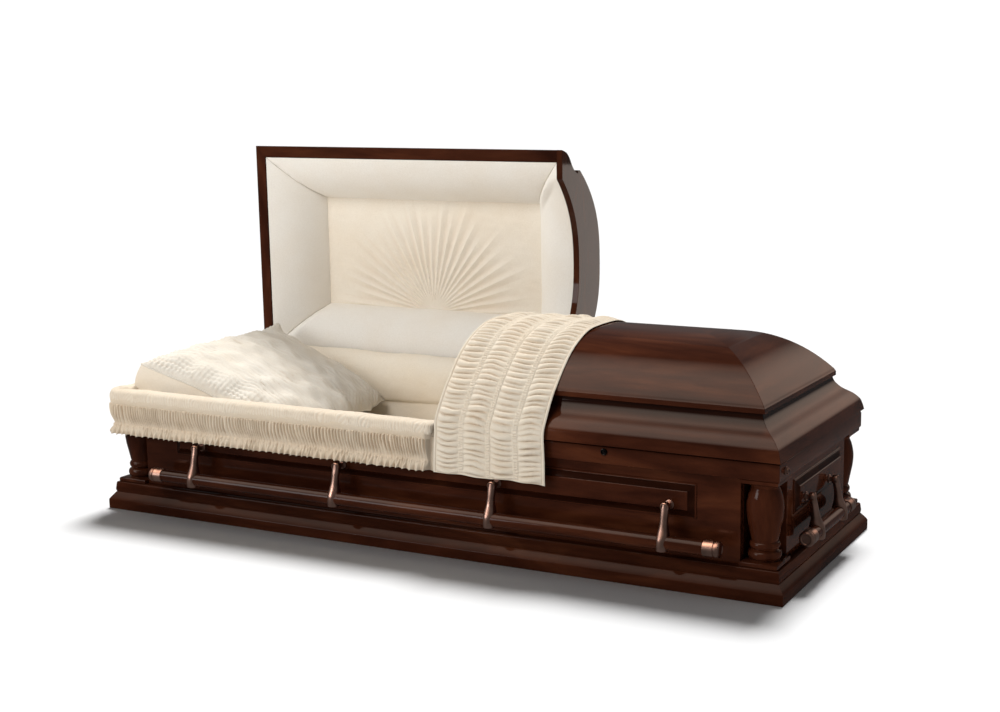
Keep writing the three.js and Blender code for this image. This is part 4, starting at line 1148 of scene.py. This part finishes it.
def add_ruffle():
    top = RIM_BOTTOM - 0.0012
    s, x, y, nx, ny, total = ruffle_path(0.0010)
    rows = 44
    drop = np.linspace(0, 1, rows)
    start_z, end_z = top - 0.025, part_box("ruffle")[0].z + 0.001
    # How far the cloth stands out from its CAD face, from the band down to the hem
    keys = np.array([(-0.0040, 0.0), (0.0010, 0.06), (0.0020, 0.14), (0.0000, 0.34), (-0.0060, 0.56),
                     (-0.0095, 0.68), (-0.0085, 0.74), (-0.0020, 0.84), (0.0015, 0.92), (0.0010, 1.0)])
    out = np.interp(drop, keys[:, 1], keys[:, 0])
    out = np.convolve(np.pad(out, 2, mode="edge"), np.ones(5) / 5, mode="valid")
    fold = 0.0098
    drift = np.cumsum(random_for(7).normal(0, 1, len(s)))
    drift -= np.linspace(drift[0], drift[-1], len(s))
    drift = np.convolve(drift, np.ones(41) / 41, mode="same") * 0.10
    sg, dg = np.meshgrid(s, drop, indexing="ij")
    lean = waves(sg * 0.5, dg * 0.03, 0.06, 101) * 0.9 * dg
    phase = sg / fold + drift[:, None] + lean
    strength = np.clip(0.80 + 0.40 * waves(sg, dg * 0.05, 0.035, 102), 0.35, 1.2)
    upper = smooth(0.0, 0.05, dg) * (1 - 0.72 * smooth(0.40, 0.66, dg))
    wave = np.abs(np.sin(math.pi * phase))
    pleat = (wave ** 0.6 - 0.66) * 0.0104 * upper * strength
    tuft = np.exp(-((dg - 0.045) / 0.040) ** 2) * 0.0034 * (np.sin(math.pi * phase * 0.5) ** 2)
    tuft += np.exp(-((dg - 0.735) / 0.030) ** 2) * 0.0036 * (np.sin(math.pi * phase * 0.5 + 0.6) ** 2)
    lower = smooth(0.74, 0.98, dg)
    flounce = np.sin(2 * math.pi * sg / 0.0205 + 2.2 * waves(sg, 0 * sg, 0.09, 103)) * 0.0056 * lower
    gather = (np.abs(np.sin(math.pi * phase * 1.1)) - 0.5) * 0.0030
    gather *= smooth(0.66, 0.76, dg) * (1 - 0.4 * lower)
    offset = out[None, :] + pleat + tuft + flounce + gather
    tucked = smooth(0.022, 0.012, sg)
    offset = offset * (1 - tucked) - tucked * (RUFFLE_THICKNESS - 0.0035)
    # Painted shade: darker in the pleats' hollows, in a band along the gathered row above the flounce, and in
    # the flounce's hollows
    painted_shade = (1 - wave) ** 2.2 * upper * strength * 0.95
    painted_shade += smooth(0.55, 0.68, dg) * smooth(0.80, 0.70, dg) * 0.16
    painted_shade += lower * 0.30 * np.clip(-flounce / 0.0056, 0, 1)
    scallop = np.sin(2 * math.pi * sg / 0.0205 + 2.2 * waves(sg, 0 * sg, 0.09, 103) + 1.1)
    scallop = scallop + 0.6 * waves(sg, 0 * sg, 0.05, 104)
    z = start_z + (end_z - start_z) * dg + 0.0022 * scallop * smooth(0.85, 1, dg)
    z = np.maximum(z, end_z - 0.002)
    points = np.stack([x[:, None] + nx[:, None] * offset, y[:, None] + ny[:, None] * offset, z], axis=2)
    shape = Shape().add(points, grid_faces(len(s), rows))
    skirt = build("ruffle_skirt", shape, [RUFFLED], "root", 60, False, painted_shade)
    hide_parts("ruffle")
    add_ruffle_band(top)
    add_ruffle_top()


def add_ruffle_band(top):
    """The stuffed edge over the rail, with a flat flange to the inside."""
    s, x, y, nx, ny, total = ruffle_path(0.006)
    depth = RUFFLE_THICKNESS + RUFFLE_FLANGE
    low_z = top - 0.034
    # In from the outer face and height, round the band's section
    rail_side = RUFFLE_THICKNESS - 0.0006
    section = [(0.004, low_z + 0.002), (0.0005, low_z + 0.010), (-0.0012, low_z + 0.018),
               (0.0005, low_z + 0.027), (0.0050, top - 0.0022), (0.0130, top), (0.0300, top - 0.0004),
               (depth - 0.004, top), (depth, top - 0.0014), (depth - 0.001, RAIL_TOP + 0.0004),
               (RUFFLE_THICKNESS + 0.001, RAIL_TOP + 0.0004), (rail_side, RAIL_TOP - 0.002),
               (rail_side, low_z + 0.001)]
    section = np.vstack([spline(section[:10], 30), section[10:]])
    inset, height = section[:, 0], section[:, 1]
    sg, hg = np.meshgrid(s, height, indexing="ij")
    puff = waves(sg, hg, 0.045, 111) * 0.0010 + waves(sg, hg * 3, 0.014, 112) * 0.0005
    ig = inset[None] - puff * (inset[None] < 0.02)
    hg = hg - np.abs(puff) * 0.5 * (inset[None] >= 0.006) * (hg > RAIL_TOP + 0.001)
    tucked = smooth(0.020, 0.010, s)[:, None]
    ig = ig + tucked * np.clip(RUFFLE_THICKNESS - 0.0015 - ig, 0, None)
    arc = (nx != -1) & (ny != -1)
    shift = np.where(arc[:, None] & (ig > RUFFLE_CORNER - 0.004), RUFFLE_CORNER - 0.004, ig)
    points = np.stack([x[:, None] - nx[:, None] * shift, y[:, None] - ny[:, None] * shift, hg], axis=2)
    band = build("ruffle_band", Shape().tube(points), [RUFFLED], "root", 60)


def add_ruffle_top():
    """The stuffed roll along the rail."""
    s, x, y, nx, ny, total = ruffle_path(0.0022)
    section = spline(TOP_ROLL, 44)[:-1]
    centre = section.mean(axis=0)
    out = (section - centre) / np.linalg.norm(section - centre, axis=1)[:, None]
    free = smooth(RAIL_TOP + 0.002, RAIL_TOP + 0.008, section[:, 1]) + (section[:, 0] < 0.004)
    sg, kg = np.meshgrid(s, np.arange(len(section)) / len(section), indexing="ij")
    puff = waves(sg, kg * 0.1, 0.09, 121) * 0.0014 + waves(sg, kg * 0.02, 0.020, 122) * 0.0006
    gather = np.abs(np.sin(math.pi * (sg / 0.0086 + waves(sg, kg * 0.1, 0.05, 123))))
    puff += (gather - 0.6) * 0.0022
    puff *= np.clip(free, 0, 1)[None]
    size = (1 - np.clip(1 - sg / 0.020, 0, 1) ** 2.5) ** 0.5
    inset = centre[0] + (section[:, 0] - centre[0])[None] * size + out[:, 0][None] * puff
    height = centre[1] + (section[:, 1] - centre[1])[None] * size + out[:, 1][None] * puff
    arc = (nx != -1) & (ny != -1)
    inset = np.where(arc[:, None], np.minimum(inset, RUFFLE_CORNER - 0.004), inset)
    points = np.stack([x[:, None] - nx[:, None] * inset, y[:, None] - ny[:, None] * inset, height], axis=2)
    # Painted shade in the hollows of the gathers
    painted_shade = 0.50 * (1 - gather) ** 2
    roll = build("ruffle_top_roll", Shape().tube(points), [DRAPED], "root", 60, True, painted_shade)
    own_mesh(roll)


# Throw

THROW_GAP = 0.0028


def throw_line():
    """The line that the throw follows from its back edge to its hem, as y and z, at even steps."""
    rise = CROWN_TOP - CROWN_LOW - CROWN_LIP
    lip_top = CROWN_LOW + CROWN_LIP
    reach = CROWN_HALF_Y - RIDGE_HALF
    y = np.linspace(0.200, -CROWN_HALF_Y, 160)
    share = np.clip((CROWN_HALF_Y - np.abs(y)) / reach, 0, 1)
    z = lip_top + rise * (1 - (1 - share) ** CROWN_CURVE) + THROW_GAP
    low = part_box("throw")[0].z
    tail = spline([(-CROWN_HALF_Y - 0.006, lip_top - 0.001), (-CROWN_HALF_Y - 0.022, lip_top - 0.022),
                   (-0.3400, 0.398), (-RIM_HALF_Y - 0.0042, RIM_BOTTOM + 0.022),
                   (-RIM_HALF_Y - 0.0062, RIM_BOTTOM - 0.010),
                   (-RIM_HALF_Y - 0.0072, low + 0.045), (-RIM_HALF_Y - 0.0080, low + 0.0015)], 80)
    line = np.vstack([np.column_stack([y[:-1], z[:-1]]), tail])
    for _ in range(12):
        line[1:-1] = (line[:-2] + 2 * line[1:-1] + line[2:]) / 4
    length = np.concatenate([[0], np.cumsum(np.linalg.norm(np.diff(line, axis=0), axis=1))])
    t = np.linspace(0, length[-1], int(length[-1] / 0.0019))
    return t, np.column_stack([np.interp(t, length, line[:, 0]), np.interp(t, length, line[:, 1])])


def puffs(t, across, column, seed):
    """Height of one column of stitched puffs, and the shade painted into its creases. across runs from 0 to 1
    over the column.
    """
    rng = random_for(seed)
    bend = 0.007 * (across - 0.5) * rng.uniform(0.4, 1.2) * (1 if column == 3 else -0.7)
    bend = bend + 0.0035 * np.sin(math.pi * across) * (1 if column % 2 else -1)
    place = t + bend + waves(t, across * 0.06, 0.05, seed + 1) * 0.0022
    marks = [-0.02]
    while marks[-1] < t.max() + 0.03:
        marks.append(marks[-1] + rng.uniform(0.0120, 0.0205))
    marks = np.array(marks)
    index = np.clip(np.searchsorted(marks, place) - 1, 0, len(marks) - 2)
    size = marks[index + 1] - marks[index]
    share = np.clip((place - marks[index]) / size, 0, 1)
    fullness = rng.uniform(0.55, 1.0, len(marks))[index]
    dome = np.clip(1 - np.abs(2 * share - 1.22) ** 2.2, 0, 1)
    envelope = np.sin(math.pi * np.clip(across, 0.0, 1.0)) ** 0.72
    # The second value is painted shade in the creases between the puffs
    crease = np.clip(1 - share / 0.22, 0, 1) * 0.8 + np.clip((share - 0.80) / 0.20, 0, 1) * 0.5
    return 0.0010 + dome * envelope * fullness * size * 0.60, crease * (0.4 + 0.6 * envelope)


def add_throw():
    left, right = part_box("throw")[0].x - 0.013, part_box("throw")[1].x - 0.001
    t, line = throw_line()
    tangent = np.gradient(line, axis=0)
    tangent /= np.linalg.norm(tangent, axis=1)[:, None]
    normal = np.column_stack([tangent[:, 1], -tangent[:, 0]])
    cols = 170
    w = np.linspace(left, right, cols)
    tg, wg = np.meshgrid(t, w, indexing="ij")
    hem = 0.008
    gathers = 0.013
    span = (right - left - 2 * hem - 3 * gathers) / 4
    place = np.clip(wg - left - hem, 0, right - left - 2 * hem - 1e-6)
    column = np.minimum(np.floor(place / (span + gathers)).astype(int), 3)
    within = place - column * (span + gathers)
    across = np.clip(within / span, 0, 1)
    in_gathers = within > span
    height, painted_shade = np.zeros_like(tg), np.zeros_like(tg)
    for c in range(4):
        puff, crease = puffs(tg, across, c, 130 + 10 * c)
        height = np.where(column == c, puff, height)
        painted_shade = np.where(column == c, crease, painted_shade)
    shirr = 0.0030 * np.abs(np.sin(math.pi * (tg + waves(tg, wg, 0.03, 171) * 0.0030) / 0.0074))
    stitches = np.exp(-((within - span - gathers / 2) / 0.0014) ** 2) * 0.0010
    height = np.where(in_gathers, 0.0012 + shirr - stitches, height)
    # Painted shade in the gathers' hollows between the columns, and a thin painted shade line where the
    # piping meets the puffs
    painted_shade = np.where(in_gathers, 0.45 * (1 - shirr / 0.0030) ** 2, painted_shade) * 0.62
    from_edge = np.minimum(wg - left, right - wg)
    piped = np.sqrt(np.clip(1 - ((from_edge - 0.0038) / 0.0040) ** 2, 0, 1)) * 0.0030
    height = np.where(from_edge < hem, piped, height)
    painted_shade = np.where(from_edge < hem, 0.25 * (np.abs(from_edge - hem) < 0.0016), painted_shade)
    from_end = t[-1] - tg
    height = np.where(from_end < 0.004, np.minimum(height, 0.0020), height)
    height = height + waves(tg, wg, 0.11, 172) * 0.0012
    height = np.clip(height, -0.0010, 0.0115)
    hang = smooth(t[-1] - 0.14, t[-1], tg)
    sway = waves(wg, 0 * wg, 0.13, 173) * 0.0022 * hang
    y = line[:, None, 0] + normal[:, None, 0] * height - np.abs(sway) * 0.6
    z = line[:, None, 1] + normal[:, None, 1] * height
    z = z + 0.0030 * waves(wg, 0 * wg, 0.10, 174) * smooth(t[-1] - 0.06, t[-1], tg)
    x = wg + hang * 0.004 * np.sign(wg - (left + right) / 2) * np.abs(2 * (wg - left) / (right - left) - 1)
    points = np.stack([x, y, z], axis=2)
    crossing = int(np.argmax((line[:, 1] < RIM_BOTTOM + 0.004) & (line[:, 0] < 0)))
    over = Shape().add(points[:crossing + 1], grid_faces(crossing + 1, cols))
    flap = Shape().add(points[crossing:], grid_faces(len(t) - crossing, cols))
    upper_painted_shade, lower_painted_shade = painted_shade[:crossing + 1], painted_shade[crossing:]
    cover = build("throw_cover", over, [DRAPED], "foot_lid", 60, False, upper_painted_shade)
    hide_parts("throw")
    hanging = build("throw_flap", flap, [DRAPED], "foot_lid", 60, False, lower_painted_shade)
    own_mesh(hanging)


# Studio

def add_floor():
    half = 60.0
    corners = [(x, y, 0) for x, y in rectangle(half, half)]
    shape = Shape().add(corners, [(0, 1, 2, 3)])
    mesh = bpy.data.meshes.new("floor")
    mesh.from_pydata(shape.verts, [], shape.faces)
    material, tree, shader = new_material("floor paint")
    cloud = noise(tree, stretched(tree, (0.5, 0.5, 0.5)), 1.0, 2.0)
    paint = ramp(tree, cloud, [(0.3, (0.96,) * 3), (0.7, (0.975,) * 3)])
    link(tree, paint, shader.inputs["Base Color"])
    shader.inputs["Roughness"].default_value = 0.9
    shader.inputs["Specular IOR Level"].default_value = 0.1
    mesh.materials.append(material)
    floor = bpy.data.objects.new("floor", mesh)
    bpy.context.scene.collection.objects.link(floor)
    floor.visible_glossy = False
    spared = bpy.data.collections.new("spared by the softboxes")
    spared.objects.link(floor)
    spared.collection_objects[0].light_linking.link_state = "EXCLUDE"
    return spared


def add_light(name, place, target, size, power, spare=None):
    """A softbox; the pieces of the spared collection aren't lit by it."""
    data = bpy.data.lights.new(name, "AREA")
    data.shape = "RECTANGLE"
    data.size, data.size_y = size
    data.energy = power
    light = bpy.data.objects.new(name, data)
    light.location = place
    light.rotation_euler = (Vector(target) - Vector(place)).to_track_quat("-Z", "Y").to_euler()
    light.light_linking.receiver_collection = spare
    bpy.context.scene.collection.objects.link(light)
    return light


def add_world():
    """White behind the object, a dim surround for its light, and bright patches for its reflections."""
    world = bpy.data.worlds.new("studio")
    world.use_nodes = True
    bpy.context.scene.world = world
    tree = world.node_tree
    rays = tree.nodes.new("ShaderNodeLightPath")
    place = tree.nodes.new("ShaderNodeTexCoord")
    glow = (0.07,) * 3
    for direction, start, full, colour in PATCHES:
        towards = tree.nodes.new("ShaderNodeVectorMath")
        towards.operation = "DOT_PRODUCT"
        towards.inputs[1].default_value = Vector(direction).normalized()
        link(tree, place.outputs["Generated"], towards.inputs[0])
        patch = ramp(tree, towards.outputs["Value"], [(start, (0.035,) * 3), (full, colour)])
        glow = mix_colours(tree, 1.0, glow, patch, "ADD")
    lit = mix_colours(tree, rays.outputs["Is Glossy Ray"], (SURROUND,) * 3, glow)
    seen = mix_colours(tree, rays.outputs["Is Camera Ray"], lit, (1.1, 1.1, 1.1))
    link(tree, seen, tree.nodes["Background"].inputs["Color"])


def add_sun(tilt_degrees, turn_degrees, strength, softness_degrees):
    data = bpy.data.lights.new("sun", "SUN")
    data.energy = strength
    data.angle = math.radians(softness_degrees)
    light = bpy.data.objects.new("sun", data)
    light.rotation_euler = (math.radians(tilt_degrees), 0, math.radians(turn_degrees))
    light.visible_glossy = False
    bpy.context.scene.collection.objects.link(light)


def add_camera():
    data = bpy.data.cameras.new("camera")
    data.lens = 52.305
    data.sensor_width = 36.0
    data.shift_x = -0.15
    data.clip_end = 200
    camera = bpy.data.objects.new("camera", data)
    camera.location = (2.14363, -3.51791, 1.18236)
    camera.rotation_euler = Vector((-0.40727, 0.89740, -0.16970)).to_track_quat("-Z", "Y").to_euler()
    bpy.context.scene.collection.objects.link(camera)
    bpy.context.scene.camera = camera


add_camera()
spared_floor = add_floor()
add_world()
add_sun(-30, 12, 3.45, 18)
add_light("front", (-3.6, -4.8, 2.1), (-0.1, 0.0, 0.5), (2.4, 2.0), 96, spared_floor)
high = add_light("high front", (-0.7, -2.3, 3.1), (-0.2, 0.1, 0.4), (1.8, 1.2), 56, spared_floor)
high.visible_glossy = False
bpy.context.scene.view_settings.view_transform = "Standard"

add_base()
add_rail()
add_boards()
add_panels()
add_columns()
add_lids()
header_only = bpy.data.collections.new("header only")
header_only.objects.link(bpy.data.objects["head_lid_header_wood"])
card = add_light("card behind", (0.50, 1.30, 0.52), (0.10, 0.50, 0.62), (0.9, 0.9), 6.6, header_only)
card.data.color = (1.0, 0.88, 0.79)
card.visible_diffuse = False
card.visible_camera = False
add_hinges()
add_handles()
add_small_fittings()
add_lid_rolls()
add_lid_panel()
add_body_lining()
add_back_roll()
add_mattress()
add_pillow()
add_ruffle()
add_throw()
